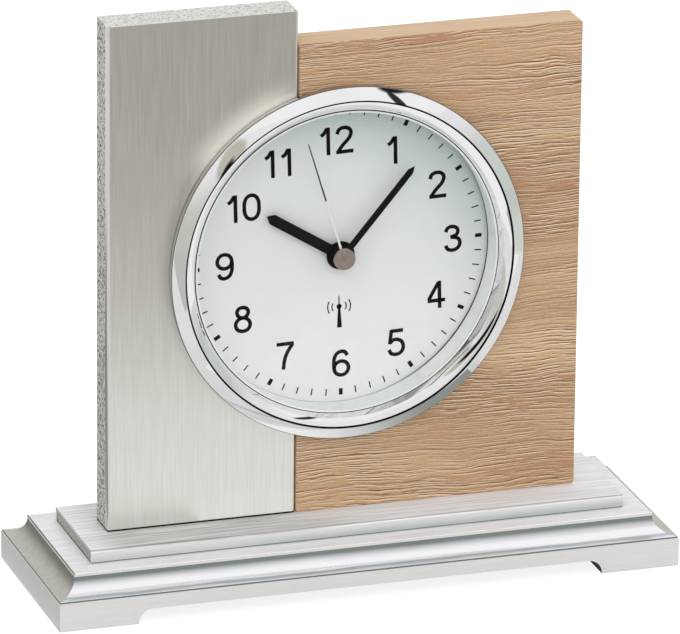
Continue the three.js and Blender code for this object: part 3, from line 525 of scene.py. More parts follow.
def oak_recipe(place):
    """Height above the base is warped by slow drift and gentle ripples, then cut into layers. Each layer has
    one dark line, broken by a noise of its own along x: the groove of the grain, darkened partly by painted
    shade. A cream line below it is a painted highlight, where brushed grain would catch the light. Four sets
    of layers lie over one another, each with a spacing, seed, weight and run."""
    x, y, z = parts(place)
    drift = place.noise((0.010, 0.05, 0.02), 2.0, 0.5)
    ripple = place.noise((0.05, 0.1, 0.05), 4.0, 0.42)
    height = z + GRAIN_DRIFT * drift + GRAIN_RIPPLE * ripple
    grain = place.node("CombineXYZ", {}, {0: x, 1: y, 2: height})
    band = grain.noise((0.008, 0.02, 0.12), 3.0, 0.55).contrast(0.18)
    rosy = grain.noise((0.010, 0.02, 0.07), 2.0, 0.5).between(0.52, 0.68)
    rosy = rosy + 0.45 * z.between(ROSY_LOW, ROSY_HIGH)
    strength = 0.4 + 0.6 * grain.noise((0.025, 0.05, 0.09), 2.0, 0.5).between(0.38, 0.60)
    jitter = grain.noise((0.01, 0.1, 0.3), 2.0, 0.5)
    lines, creams = [], []
    for spacing, seed, weight, run in GRAIN_LAYERS:
        level = (height + GRAIN_JITTER * jitter) / spacing + seed
        phase, layer = level.math("FRACT"), level.math("FLOOR")
        own = place.node("CombineXYZ", {}, {0: x / run, 1: 0.1 * y, 2: 5.3 * layer})
        shown = weight * own.noise(1.0, 2.0, 0.55).between(0.46, 0.58)
        thin = GROOVE_THIN / spacing
        rim = phase.between(1 - 2.6 * thin, 1 - 1.2 * thin) * phase.between(1 - 0.9 * thin, 1 - 1.1 * thin)
        lines.append(shown * phase.between(1 - thin, 1 - 0.6 * thin))
        creams.append(shown * rim)
    line, cream = most(lines), most(creams)
    fibre = grain.noise((0.10, 2.0, 5.5), 2.0, 0.6).contrast()
    grit = place.noise((1.4, 2.0, 3.4), 2.0, 0.6).contrast()
    colour = band.mix("ac8360", "d0ac84")
    for share, tint in ((0.5 * rosy, "ac7853"), (0.32 * fibre, "9c6f49"), (0.16 * grit, "f2dcba"),
                        (strength * cream, "f5e1c3"), (strength * line, "6e4024")):
        colour = share.mix(colour, tint)
    relief = 0.02 * cream - 0.03 * line + 0.01 * fibre
    return {"Base Color": colour, "Roughness": 0.55 + 0.2 * line, "Height": relief}


def oak_edge_recipe(place):
    """The edge band of the panel: straight pale grain along x."""
    fibre = place.noise((0.03, 2.6, 2.6), 3.0, 0.6).contrast()
    cloud = place.noise((0.03, 0.2, 0.2), 2.0, 0.5).contrast()
    colour = (0.75 * fibre + 0.25 * cloud).mix("cfa981", "e6cba8")
    return {"Base Color": colour, "Roughness": 0.6 - 0.1 * fibre, "Height": 0.04 * fibre}


oak = finish("oiled_oak", oak_recipe, Specular_IOR_Level=0.3)
oak_edge = finish("oak_edge_band", oak_edge_recipe)
print("oak:", len(GRAIN_LAYERS), "sets of layers")

# %% [markdown]
# ## Lacquer, plastic and the rest
# The board behind the aluminium sheet has a pale lacquer with dark grit, which two noises give: a soft one
# for the mottling, and a finer one cut off high for the grit. Paint, plastic, rubber and felt differ only in
# grain, depth and gloss, so one function with those as its arguments makes them all.

# %% Lacquered board
JOINT_SOFT = 0.1


def speckle(name, ground, mid, speck, amount, foot=None):
    """Pale lacquer over coarse board: soft mottling and dark grit. Below a foot, a painted shadow line
    darkens the joint.
    """

    def recipe(place):
        cloud = place.noise(0.7, 3.0, 0.7).contrast(0.15)
        grit = place.noise(1.25, 2.0, 0.7).between(0.64 - amount, 0.70 - amount)
        colour = grit.mix(cloud.mix(mid, ground), speck)
        if foot is not None:
            colour = parts(place)[Z].between(foot + JOINT_SOFT, foot).mix(colour, "2a2a28")
        return {"Base Color": colour, "Roughness": 0.55 + 0.25 * grit, "Height": 0.05 * cloud - 0.1 * grit}

    return finish(name, recipe, Metallic=0.15)


lacquer = speckle("speckled_lacquer", "dedcd7", "c0bdb7", "5a564f", 0.10)
# The top face of the board gets a paler copy of the lacquer: painted light from above.
lacquer_top_painted_light = speckle("speckled_lacquer_top", "e8e8e4", "dcdcd8", "b1b0ac", 0.08)
raw_board = speckle("fibre_board", "a98d6e", "8d7356", "5d4a36", 0.04)
print("boards:", lacquer.name, lacquer_top_painted_light.name, raw_board.name)


# %% Paint, plastic, rubber and felt
def moulded(name, colour, rough=0.5, grain=2.4, depth=0.02, contrast=0.12, **constants):
    """A moulded or painted surface: fine grain in the bump, slight clouds in tone and gloss."""

    def recipe(place):
        fine = place.noise(grain, 2.0, 0.55)
        cloud = place.noise(0.12, 3.0, 0.6).contrast(0.25)
        return {"Base Color": cloud.mix(dimmed(colour, contrast), colour),
                "Roughness": rough - 0.06 + 0.12 * fine, "Height": depth * fine}

    return finish(name, recipe, **constants)


ink = moulded("dial_ink", "050506", 0.5, 4.0, 0.004, 0.2, Specular_IOR_Level=0.1)
hand_paint = moulded("hand_lacquer", "070707", 0.45, 3.0, 0.006, 0.25, Specular_IOR_Level=0.12)
black_plastic = moulded("black_plastic", "202022", 0.5)
white_plastic = moulded("white_plastic", "e6e4dd", 0.45)
grey_plastic = moulded("grey_button_plastic", "b4b4b1", 0.45)
rubber = moulded("gasket_rubber", "1b1b1b", 0.85)
felt = moulded("wool_felt", "2b2b2c", 0.95, 5.0, 0.25, 0.35)
jacket = moulded("battery_jacket", "3b4147", 0.35, 4.0, 0.004, 0.2, Metallic=0.5)
ferrite = moulded("ferrite", "3a3a3c", 0.75, 4.0, 0.03, 0.3)
circuit = moulded("circuit_green", "2f6b45", 0.45, 1.2, 0.02, 0.35)
magnet = polished("magnet", "8a8c90", 0.35, 0.1, 0.5)
cell_band = polished("cell_band", "b98d5e", 0.3, 0.1, 0.4)
copper = brushed("copper_winding", X, "9c5a30", "c4793f", 0.9, 0.3)
groove_dark = moulded("groove_shadow", "0e0e0f", 0.6, Specular_IOR_Level=0.2)
quirk_grey = moulded("quirk_shadow", "6f706e", 0.5)
print("materials so far:", len(bpy.data.materials))

# %% [markdown]
# ## Surfaces from arrays
# Every new piece is a grid of points: one direction runs round a section, the other along a path or round
# an axis. numpy works the whole grid out at once. Seams and poles are welded afterwards, and the faces are
# turned outwards, so each piece is one closed skin.


# %% Grids, welding and placing
WELD = 2e-7


def patch(points, ring=False, caps=None, paint=0):
    """Quads over a grid whose columns close round the section. Rows close if ring, and caps are the paints
    of faces that fill the two ends."""
    rows, columns = points.shape[:2]
    i = np.arange(rows if ring else rows - 1)[:, None]
    j = np.arange(columns)[None, :]
    next_i, next_j = (i + 1) % rows, (j + 1) % columns
    corners = (i * columns + j, next_i * columns + j, next_i * columns + next_j, i * columns + next_j)
    quads = np.stack(np.broadcast_arrays(*corners), -1)
    faces = quads.reshape(-1, 4).tolist()
    paints = np.broadcast_to(paint, quads.shape[:2]).ravel().tolist()
    if caps:
        faces += [list(range(columns)), list(range((rows - 1) * columns, rows * columns))]
        paints += caps
    return points.reshape(-1, 3), faces, paints


def piece(name, body, finishes, patches, replaces=(), sharp=30):
    """One mesh object from patches in millimetres, riding a body and standing for the nodes named."""
    points, faces, paints, count = [], [], [], 0
    for some_points, some_faces, some_paints in patches:
        points.append(some_points)
        faces += [[corner + count for corner in face] for face in some_faces]
        paints += some_paints
        count += len(some_points)
    mesh = bpy.data.meshes.new(name)
    mesh.from_pydata(np.concatenate(points) * MM, [], faces)
    mesh.polygons.foreach_set("material_index", paints)
    work = bmesh.new()
    work.from_mesh(mesh)
    bmesh.ops.remove_doubles(work, verts=work.verts, dist=WELD)
    bmesh.ops.recalc_face_normals(work, faces=work.faces)
    work.to_mesh(mesh)
    work.free()
    mesh.shade_smooth()
    mesh.set_sharp_from_angle(angle=math.radians(sharp))
    for one in finishes:
        mesh.materials.append(one)
    made = bpy.data.objects.new(name, mesh)
    bpy.context.scene.collection.objects.link(made)
    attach(made, body)
    if replaces:
        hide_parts(*replaces)
    print(name, len(mesh.polygons), "faces on", body)
    return made


# %% Outlines and turned forms
CORNER_SHARE, HOLD_SHARE = 0.46, 0.03
MITRE_LIMIT, EASE_HOLD = 0.3, 1.3
TINY = 1e-6


def rounded(corners, radius, steps=5, hold=0.12):
    """A closed outline whose corners are arcs. An arc's centre lies on the corner's bisector, at the radius
    over the sine of half the angle, and the arc swings between the two points where it meets the sides. A
    point is held on each side a little further out, so that flat faces shade flat."""
    corners = np.asarray(corners, float)
    out = []
    for i, radius_here in enumerate(np.broadcast_to(radius, len(corners))):
        corner, before, after = corners[i], corners[i - 1], corners[(i + 1) % len(corners)]
        lengths = np.linalg.norm(before - corner), np.linalg.norm(after - corner)
        to_before, to_after = (before - corner) / lengths[0], (after - corner) / lengths[1]
        half_angle = math.acos(np.clip(to_before @ to_after, -1, 1)) / 2
        tangent = min(radius_here / math.tan(half_angle), CORNER_SHARE * min(lengths))
        if tangent < TINY:
            out.append(corner[None])
            continue
        size = tangent * math.tan(half_angle)
        bisector = (to_before + to_after) / np.linalg.norm(to_before + to_after)
        middle = corner + bisector * size / math.sin(half_angle)
        first, last = corner + tangent * to_before, corner + tangent * to_after
        sweep = math.pi - 2 * half_angle
        s = np.linspace(0, 1, steps + 1)[:, None]
        arc = np.sin((1 - s) * sweep) * (first - middle) + np.sin(s * sweep) * (last - middle)
        arc = middle + arc / math.sin(sweep)
        step_back = min(hold, HOLD_SHARE * min(lengths))
        out.append(np.concatenate([[first + step_back * to_before], arc, [last + step_back * to_after]]))
    return np.concatenate(out)


def ring_profile(inner, outer, front, rear, ease, steps=5):
    """The profile of a plain turned ring, or of a disc where inner is 0."""
    return rounded([(inner, front), (outer, front), (outer, rear), (inner, rear)], ease, steps)


def turned(profile, centre, axis="y", segments=192, paint=0):
    """A profile of (radius, along) pairs turned round an axis: at the angle a, a point lies at radius times
    cos a and radius times sin a. A profile that starts off the axis is closed on itself."""
    profile = np.asarray(profile, float)
    angle = np.linspace(0, 2 * math.pi, segments, endpoint=False)
    across, along, rise = np.broadcast_arrays(profile[:, :1] * np.cos(angle), profile[:, 1:],
                                              profile[:, :1] * np.sin(angle))
    order = {"x": (along, across, rise), "y": (across, along, rise), "z": (across, rise, along)}[axis]
    grid = np.stack(order, -1) + np.asarray(centre, float)
    paint = np.asarray(paint)[:, None] if np.ndim(paint) else paint
    return patch(grid, ring=profile[0, 0] > TINY, paint=paint)


def outward(outline):
    """At each point of a counterclockwise outline, the mitred normal: the sum of the normals of its two
    sides over one plus their product, so that an offset keeps its width at corners."""
    side = np.roll(outline, -1, 0) - outline
    side /= np.linalg.norm(side, axis=1)[:, None]
    normal = np.stack([side[:, 1], -side[:, 0]], 1)
    before = np.roll(normal, 1, 0)
    return (normal + before) / np.maximum(1 + (normal * before).sum(1), MITRE_LIMIT)[:, None]


def plate(outline, front, rear, ease=0.2, steps=3, hole=None, edge_paint=0):
    """An outline in the front view (x, z), thick from front to rear. Its edges follow a quarter circle, drawn
    in by 1 - sin and let down by 1 - cos. With a hole, the faces run from the hole's points to the rim."""
    outline = np.asarray(outline, float)
    swing = np.linspace(0, math.pi / 2, steps + 1)
    inset = np.concatenate([[EASE_HOLD * ease], ease * (1 - np.sin(swing))])
    drop = np.concatenate([[0], ease * (1 - np.cos(swing))])
    inset = np.concatenate([inset, inset[::-1]])
    depth = np.concatenate([front + drop, (rear - drop)[::-1]])
    flat_rings = outline[None] - inset[:, None, None] * outward(outline)[None]
    if hole is not None:
        flat_rings = np.concatenate([hole[None], flat_rings, hole[None]])
        depth = np.concatenate([[front], depth, [rear]])
    level_rings = np.broadcast_to(depth[:, None], flat_rings.shape[:2])
    grid = np.stack([flat_rings[..., 0], level_rings, flat_rings[..., 1]], -1)
    paint = np.zeros((len(depth) - (hole is None), 1), int)
    paint[len(depth) // 2 - 1] = edge_paint
    return patch(grid, ring=hole is not None, caps=None if hole is not None else (0, 0), paint=paint)


# %% [markdown]
# ## Base
# The base is a mitred frame of moulding: a flat fascia, a fine quirk, a polished cove and a flat top. The
# section is drawn once and carried along each side; at the ends every point runs on by its own distance
# out, which makes the mitre. Front and rear have a low arch, so the underside rises there.

# %% Moulding section
FASCIA, LIP = 8.6, 1.0
QUIRK_WIDTH, QUIRK_HEIGHT, COVE_REACH = 0.3, 0.45, 6.28
EDGE_EASE, QUIRK_EASE = 0.25, 0.2
COVE_STEPS, EDGE_STEPS = 20, 4
SATIN, HOLLOW, QUIRK, HIDDEN, LEDGE, EDGE = range(6)
front_low, front_high = reach("base_moulding_front")
left_low, left_high = reach("base_moulding_left")
moulding_width = front_high[1] - front_low[1]
moulding_height = front_high[2] - front_low[2]
inner_x, inner_y = -left_high[0], -front_high[1]

swing = np.linspace(0, math.pi / 2, COVE_STEPS + 1)
spring, cove_foot = moulding_height - LIP, FASCIA + QUIRK_HEIGHT
quirk_out, lip_out = moulding_width - QUIRK_WIDTH, moulding_width - COVE_REACH
cove_out = quirk_out - (COVE_REACH - QUIRK_WIDTH) * np.sin(swing)
cove_up = spring - (spring - cove_foot) * np.cos(swing)
lower = rounded([(0, 0), (moulding_width, 0), (moulding_width, FASCIA), (quirk_out, FASCIA)],
                (0, EDGE_EASE, QUIRK_EASE, 0), EDGE_STEPS)
upper = rounded([(lip_out, spring), (lip_out, moulding_height), (0, moulding_height)],
                (0, EDGE_EASE, 0), EDGE_STEPS)
section = np.concatenate([lower, np.stack([cove_out, cove_up], 1), upper[1:]])
cove_start, cove_end = len(lower), len(lower) + COVE_STEPS
top_edge = slice(cove_end + 2, cove_end + 2 + EDGE_STEPS)
front_paint = np.full(len(section), SATIN)
front_paint[cove_start:cove_end] = HOLLOW
front_paint[cove_start - 1] = QUIRK
# The underside and the inner face take the groove shadow: painted shade, seen under the arch.
front_paint[[0, -1]] = HIDDEN
front_paint[top_edge] = EDGE
front_paint[top_edge.stop:-1] = LEDGE
side_paint = front_paint.copy()
# Along the top edge of the end mouldings the quirk's dark tone runs as a painted shade line.
side_paint[top_edge] = QUIRK
print("moulding section:", len(section), "points")

# %% Finishes of the moulding
COVE_DULL_AND_SHADE, COVE_BARE = 3.4, (1.3, 0.7)
GREY_BAND_TOP, GREY_BAND_FOOT = (0.85, 0.55), (0.2, 0.45)
SIDE_PALE, SIDE_DARK = 0.6, 1.2
hollow_top, hollow_foot = front_low[2] + spring, front_low[2] + cove_foot


def cove_recipe(place):
    """Bright polish that is rougher towards the top of the hollow, where a painted shade also makes it dark
    and greenish. Near the bottom it has a grey band."""
    cloud = place.noise((0.05, 0.3, 0.3), 3.0, 0.6)
    height = parts(place)[Z] + 0.5 * cloud
    above = height - hollow_foot
    dull_and_shaded = height.between(hollow_top - COVE_DULL_AND_SHADE, hollow_top + 0.2)
    grey_band = above.between(*GREY_BAND_TOP) * above.between(*GREY_BAND_FOOT)
    colour = (0.8 * grey_band).mix(dull_and_shaded.mix("f3f4f7", "7c8784"), "a0abad")
    return {"Base Color": colour, "Roughness": 0.16 + 0.04 * cloud + 0.1 * dull_and_shaded,
            "Metallic": 1 - 0.8 * above.between(*COVE_BARE)}


def cove_side_recipe(place):
    """The end mouldings are only blasted: grey and slightly mottled. High up in the hollow a painted shade
    darkens them.
    """
    cloud = place.noise(0.5, 3.0, 0.65)
    fine = place.noise(3.0, 2.0, 0.6)
    tone = (0.6 * cloud + 0.4 * fine).contrast(0.15)
    painted_shade = parts(place)[Z].between(hollow_foot + SIDE_PALE, hollow_top - SIDE_DARK)
    colour = painted_shade.mix(tone.mix("b6b6ad", "c5c5bd"), tone.mix("81817a", "8e8e87"))
    return {"Base Color": colour, "Roughness": 0.4 + 0.15 * cloud, "Height": 0.01 * fine}


def ledge_recipe(place):
    """The flat top, brushed along x in streaks, and paler than the fascia's satin: painted light on a face
    turned up.
    """
    hair = hairs(place, X)
    tone = (0.4 * hair + 0.6 * streaks(place)).contrast(0.14)
    colour = tone.mix("e8e8ea", "fcfcfe")
    return {"Base Color": colour, "Roughness": 0.5 + 0.12 * hair, "Height": 0.004 * hair}


ledge_painted_light = finish("satin_ledge", ledge_recipe, Metallic=0.12)
edge_shine = polished("edge_shine", "ffffff", 0.1)
cove_polish = finish("cove_polish", cove_recipe)
cove_side = finish("cove_blasted", cove_side_recipe, Metallic=0.25)
print("moulding finishes:", [metal.name for metal in (ledge_painted_light, edge_shine, cove_polish, cove_side)])

# %% Carry it round the base
MITRE_GAP = 0.1
ARCH_INSET, ARCH_HEIGHT, ARCH_CORNER = 23.9, 4.4, 4.2
ARCH_STEPS, ARCH_STEP = 13, 0.001


def moulding(half_inner, distance, to_space, paint, arch_half=None):
    """The section (out, up) carried along a side: along runs to half_inner + out at the mitre, and where
    there is an arch, up is at least the arch's height, a flat line with round ends."""
    reach_out = half_inner + section[:, 0] - MITRE_GAP / 2
    along, rise = np.stack([-reach_out, reach_out]), np.zeros(2)
    if arch_half is not None:
        bend = np.linspace(0, math.pi / 2, ARCH_STEPS)
        half_along = np.append(arch_half - ARCH_CORNER * (1 - np.sin(bend)), arch_half + ARCH_STEP)
        half_rise = np.append(ARCH_HEIGHT - ARCH_CORNER * (1 - np.cos(bend)), 0.0)
        inner = np.concatenate([-half_along[::-1], half_along])
        along = np.concatenate([[-reach_out], np.repeat(inner[:, None], len(section), 1), [reach_out]])
        rise = np.concatenate([[0], half_rise[::-1], half_rise, [0]])
    lift = np.maximum(section[:, 1], rise[:, None])
    x, y = to_space(along, distance + section[:, 0])
    grid = np.stack(np.broadcast_arrays(x, y, front_low[2] + lift), -1)
    return patch(grid, caps=(0, 0), paint=paint)


arch_half = -left_low[0] - ARCH_INSET
for name, half_inner, distance, to_space, arch_here in (
        ("front", inner_x, inner_y, lambda along, out: (along, -out), arch_half),
        ("rear", inner_x, inner_y, lambda along, out: (along, out), arch_half),
        ("left", inner_y, inner_x, lambda along, out: (-out, along), None),
        ("right", inner_y, inner_x, lambda along, out: (out, along), None)):
    hollow, paint = (cove_side, side_paint) if arch_here is None else (cove_polish, front_paint)
    finishes = [satin, hollow, quirk_grey, groove_dark, ledge_painted_light, edge_shine]
    piece(f"moulding_{name}", "stand", finishes,
          [moulding(half_inner, distance, to_space, paint, arch_here)], [f"base_moulding_{name}"], sharp=25)

# %% [markdown]
# ## Felt pads
# Four discs of felt keep the metal off the table. A cylinder primitive would have a hard rim, so each disc is
# a turned profile whose lower edge is rounder than its upper one, as felt cut with a punch is.

# %% Felt pads
PAD_SOFT, PAD_EDGE = 0.3, 0.1
for number in range(1, 5):
    low, high, middle, size = round_reach(f"felt_pad_{number}")
    profile = ring_profile(0, size, low[2], high[2], (0, PAD_SOFT, PAD_EDGE, 0))
    piece(f"felt_disc_{number}", "stand", [felt],
          [turned(profile, (middle[0], middle[1], 0), "z", 48)], [f"felt_pad_{number}"])

# %% [markdown]
# ## Step
# The step is a board under a sheet that is folded down at front and rear, so its ends show the board between
# two bright lines of sheet. A box with a bevel would hide that, so the folded sheet is one section carried
# along x, and the board is another. Under the sheet, at the joint to the base, the board's foot is painted
# dark as a shadow line.

# %% Sheet of the step
SHEET, STEP_BEND = 0.6, 0.65
FOOT_GAP = 0.35
RISER_PALE, RISER_GREY = -55.0, 10.0
BESIDE_LEFT, BESIDE_RIGHT = (-9.0, 3.0), (25.0, -15.0)
FOLD_SHADE_TOP, FOLD_SHADE_FOOT = (-0.02, -0.1), (-0.45, -0.3)
sheet_low, sheet_high = reach("metal_panel_sheet")


def bar(section, start, end, paint=0):
    """A closed section (y, z) carried straight along x."""
    x = np.array([start, end])[:, None]
    grid = np.stack(np.broadcast_arrays(x, section[:, 0], section[:, 1]), -1)
    return patch(grid, caps=(0, 0), paint=paint)


half_depth, foot, top = step_high[1], step_low[2] + FOOT_GAP, step_high[2]
under, inside = top - SHEET, half_depth - SHEET
outer = [(-half_depth, foot), (-half_depth, top), (half_depth, top), (half_depth, foot)]
inner = [(inside, foot), (inside, under), (-inside, under), (-inside, foot)]
fold = rounded(outer + inner, (0, STEP_BEND, STEP_BEND, 0, 0, STEP_BEND - SHEET, STEP_BEND - SHEET, 0))
rear_foot = np.argmin(np.abs(fold - outer[-1]).sum(1))
fold_paint = np.zeros(len(fold), int)
fold_paint[[0, rear_foot - 1]] = 1


def riser_recipe(place):
    """The turned-down face of the sheet: hairlines along x, with a painted shade that greys it towards its
    foot and most on the right."""
    x, _, z = parts(place)
    hair = hairs(place, X).contrast()
    low_tone = x.between(RISER_PALE, RISER_GREY).mix("c3c7c4", "b0b8b3")
    colour = z.between(foot, top - 0.4).mix(low_tone, "e0e0de")
    return {"Base Color": (0.15 * hair).mix(colour, "f4f3f6"), "Roughness": 0.5 + 0.1 * hair}


def tread_recipe(place):
    """The top of the sheet, brushed along x in coarse streaks. Beside the metal panel it is greyer, a painted
    reflection of the panel, and a painted shade line runs along the fold."""
    x, _, z = parts(place)
    hair = hairs(place, X)
    tone = (0.25 * hair + 0.75 * streaks(place)).contrast(0.14)
    from_left, from_right = x - sheet_low[0], x - sheet_high[0]
    beside = from_right.between(*BESIDE_RIGHT) * from_left.between(*BESIDE_LEFT)
    streaked = tone.mix(beside.mix("e0dfe1", "b9b8b4"), beside.mix("fdfcff", "eae9e7"))
    line = (z - top).between(*FOLD_SHADE_TOP) * (z - top).between(*FOLD_SHADE_FOOT)
    colour = (0.6 * line).mix(streaked, "6c6e6d")
    return {"Base Color": colour, "Roughness": 0.48 + 0.12 * hair, "Height": 0.012 * hair}


riser = finish("aluminium_riser", riser_recipe, Metallic=0.12)
tread_sheet = finish("aluminium_tread", tread_recipe, Metallic=0.12)
piece("step_fold", "stand", [tread_sheet, riser],
      [bar(fold, step_low[0], step_high[0], fold_paint)], ["step_sheet"])

# %% Board of the step
CORE_EASE, CORE_INSET = 0.5, 0.1
step_end = speckle("step_end", "b2b2a9", "a4a49b", "7c7c74", 0.06, foot)
low, high = reach("step_board")
shadow = low[2] + FOOT_GAP
core = rounded([(low[1], shadow), (low[1], low[2]), (high[1], low[2]), (high[1], shadow), (high[1], high[2]),
                (low[1], high[2])], (0, 0, 0, 0, CORE_EASE, CORE_EASE))
core_paint = np.zeros(len(core), int)
# The board's foot below the sheet takes the groove shadow: a painted shadow line.
core_paint[:3] = 1
piece("step_core", "stand", [step_end, groove_dark],
      [bar(core, low[0] + CORE_INSET, high[0] - CORE_INSET, core_paint)], ["step_board"])

# %% [markdown]
# ## Tall panel
# The tall panel is a lacquered board with an aluminium sheet folded round its front edges. The clock's bore
# bites into both. A boolean would leave ragged faces along the cut, so each is a section in plan carried
# upwards, and beside the bore every point is held to the left of the circle.

# %% Tall panel
BEND, BOARD_CHAMFER, BOARD_EASE, REBATE_EASE = 0.8, 0.9, 0.5, 0.15
BORE_CLEARANCE, PANEL_FOOT = 0.4, 0.5
BITE_STEPS = 60
FAR = 1e6
board_low, board_high = reach("metal_panel_board")
bore = round_reach("case_cup")[3] + BORE_CLEARANCE
bite_half = math.sqrt(bore ** 2 - (sheet_high[0] - arbor[0]) ** 2)


def standing(section, foot, top, bite_depth):
    """A closed section (x, y) carried up z. Beside the bore x is at most the circle's left side, the arbor's
    x less the root of bore squared less height squared, and points cut off there keep to the skin."""
    swing = np.linspace(-math.pi / 2, math.pi / 2, BITE_STEPS)
    z = np.concatenate([[foot, foot + PANEL_FOOT], arbor[2] + bite_half * np.sin(swing), [top]])
    height = np.abs(z - arbor[2])
    circle = arbor[0] - np.sqrt(np.maximum(bore ** 2 - height ** 2, 0))
    limit = np.where(height > bite_half + TINY, FAR, circle)
    x = np.minimum(section[:, 0], limit[:, None])
    cut_off = section[:, 0] > limit[:, None] + TINY
    y = np.where(cut_off, np.minimum(section[:, 1], bite_depth), section[:, 1])
    paint = np.zeros((len(z) - 1, 1), int)
    # The lowest band takes the groove shadow: a painted shadow line at the foot.
    paint[0] = 1
    return patch(np.stack(np.broadcast_arrays(x, y, z[:, None]), -1), caps=(1, 2), paint=paint)


left, face, turn_end = sheet_low[0], sheet_low[1], sheet_high[1]
right_side, rear = sheet_high[0], board_high[1]
in_left, in_right, in_face = left + SHEET, right_side - SHEET, face + SHEET
skin = rounded([(left, turn_end), (left, face), (right_side, face), (right_side, turn_end),
                (in_right, turn_end), (in_right, in_face), (in_left, in_face), (in_left, turn_end)],
               (0, BEND, BEND, 0, 0, BEND - SHEET, BEND - SHEET, 0), 8)
piece("aluminium_face", "stand", [sheet_upright, groove_dark, sheet_upright],
      [standing(skin, sheet_low[2], sheet_high[2], in_face)], ["metal_panel_sheet"])
chamfer = in_face + BOARD_CHAMFER
plan = rounded([(left, rear), (left, turn_end), (in_left, turn_end), (in_left, chamfer),
                (in_left + BOARD_CHAMFER, in_face), (in_right - BOARD_CHAMFER, in_face), (in_right, chamfer),
                (in_right, turn_end), (right_side, turn_end), (right_side, rear)],
               (BOARD_EASE, REBATE_EASE, 0, 0, 0, 0, 0, 0, REBATE_EASE, BOARD_EASE))
piece("lacquered_board", "stand", [lacquer, groove_dark, lacquer_top_painted_light],
      [standing(plan, board_low[2], board_high[2], rear)], ["metal_panel_board"])

# %% [markdown]
# ## Oak panel
# The lower panel is flush with the tall one and has the other part of the bore. It could be a box with a hole
# cut in it, but its whole front is one outline, straight sides and an arc, so it is drawn as such and given
# thickness with eased edges. Two dark bars of glue close the joint between the panels.

# %% Oak panel
OAK_EASE, OAK_CORNER, OAK_FOOT_CORNER = 0.3, 0.75, 0.9
JOINT_INSET, JOINT_END, GLUE_CLEAR = 1.6, 0.5, 0.05
ARC_STEPS = 90
low, high = reach("oak_panel")
crossing = math.acos((low[0] - arbor[0]) / bore)
swing = np.linspace(crossing, -crossing, ARC_STEPS)
arc = np.stack([arbor[0] + bore * np.cos(swing), arbor[2] + bore * np.sin(swing)], 1)
square = rounded([(low[0], low[2]), (high[0], low[2]), (high[0], high[2]), (low[0], high[2])],
                 (OAK_CORNER, OAK_FOOT_CORNER, OAK_CORNER, OAK_CORNER))
oak_outline = np.concatenate([square, arc])
glue_front, glue_rear = face + JOINT_INSET, rear - JOINT_INSET
glue = []
for start, end in ((low[2], arbor[2] - bite_half), (arbor[2] + bite_half, high[2])):
    start, end = start + JOINT_END, end - JOINT_END
    strip = np.array([(glue_front, start), (glue_rear, start), (glue_rear, end), (glue_front, end)])
    glue.append(bar(strip, right_side + GLUE_CLEAR, low[0] - GLUE_CLEAR, 2))
piece("oak_slab", "stand", [oak, oak_edge, groove_dark],
      [plate(oak_outline, low[1], high[1], OAK_EASE, edge_paint=1), *glue], ["oak_panel"])

# %% [markdown]
# ## Bezel
# The bezel is a turned ring: an upright wall, a crowned rim, a dark fine groove, then a hollow bevel down to
# the lip that holds the glass. A torus with a bevel has neither crown nor groove, so one profile is turned
# round the arbor's axis, with many more steps than the CAD ring, so that reflections run smoothly.

# %% Profile of the bezel
WALL, FLARE, RIM, BULGE = 3.4, 0.6, 4.3, 0.06
GROOVE_WIDTH, GROOVE_DEPTH, GROOVE_TAPER, FOOT_LINE = 0.55, 0.9, 0.03, 0.22
BEVEL, BEVEL_DROP, LIP_PROUD, LIP_LOW, SEAT = 3.2, 0.3, 2.45, 2.2, 2.6
SHOULDER = np.array([(0, 0), (1.1, 0.46), (2.2, 1.15)])
LAND, LAND_STEP, LAND_OUTER_DROP, LAND_INNER_DROP = 0.8, 0.02, 0.04, 0.06
LAND_LINE, LAND_LINE_DEPTH = 0.22, 0.15
CORNER_STEPS, CROWN_STEPS, BEVEL_STEPS = 5, 20, 16
EDGE_SHARE = 0.07
insert_centre = (arbor[0], 0, arbor[2])
low, high, _, size = round_reach("bezel_ring")
seat_y, height = high[1], high[1] - low[1]
groove_radius, crown_width = size - RIM, RIM - GROOVE_WIDTH
lip_radius, foot_radius = groove_radius - BEVEL, size - FLARE


def bezel_point(radius, proud):
    """Radius and depth of a place that stands proud of the panels."""
    return np.stack(np.broadcast_arrays(radius, seat_y - np.asarray(proud, float)), -1)


def bend(turn, first, pull, last):
    """A curve from first to last that is drawn towards pull: at t they weigh the square of 1 - t, the square
    of t, and twice t times 1 - t."""
    turn = turn[:, None]
    return (1 - turn) ** 2 * first + 2 * turn * (1 - turn) * pull + turn ** 2 * last


foot = bezel_point([foot_radius - FOOT_LINE, foot_radius - FOOT_LINE, foot_radius], [0, FOOT_LINE, FOOT_LINE])
share = np.linspace(EDGE_SHARE, 1, CROWN_STEPS)
crown = bezel_point(size - crown_width * share,
                    WALL + (height - WALL) * share + 4 * BULGE * share * (1 - share))
wall_top = bezel_point(size - FLARE * EDGE_SHARE, WALL * (1 - EDGE_SHARE))
corner = bend(np.linspace(0, 1, CORNER_STEPS, endpoint=False), wall_top, bezel_point(size, WALL), crown[0])
groove = bezel_point([size - crown_width - GROOVE_TAPER, groove_radius + GROOVE_TAPER], height - GROOVE_DEPTH)
shoulder = bend(np.linspace(0, 1, BEVEL_STEPS), *SHOULDER)
bevel_in = np.append(shoulder[:, 0], BEVEL)
bevel_down = np.append(shoulder[:, 1], height - BEVEL_DROP - LIP_PROUD)
bevel = bezel_point(groove_radius - bevel_in, height - BEVEL_DROP - bevel_down)
inner_radius, line_radius = lip_radius - LAND, lip_radius - LAND_LINE
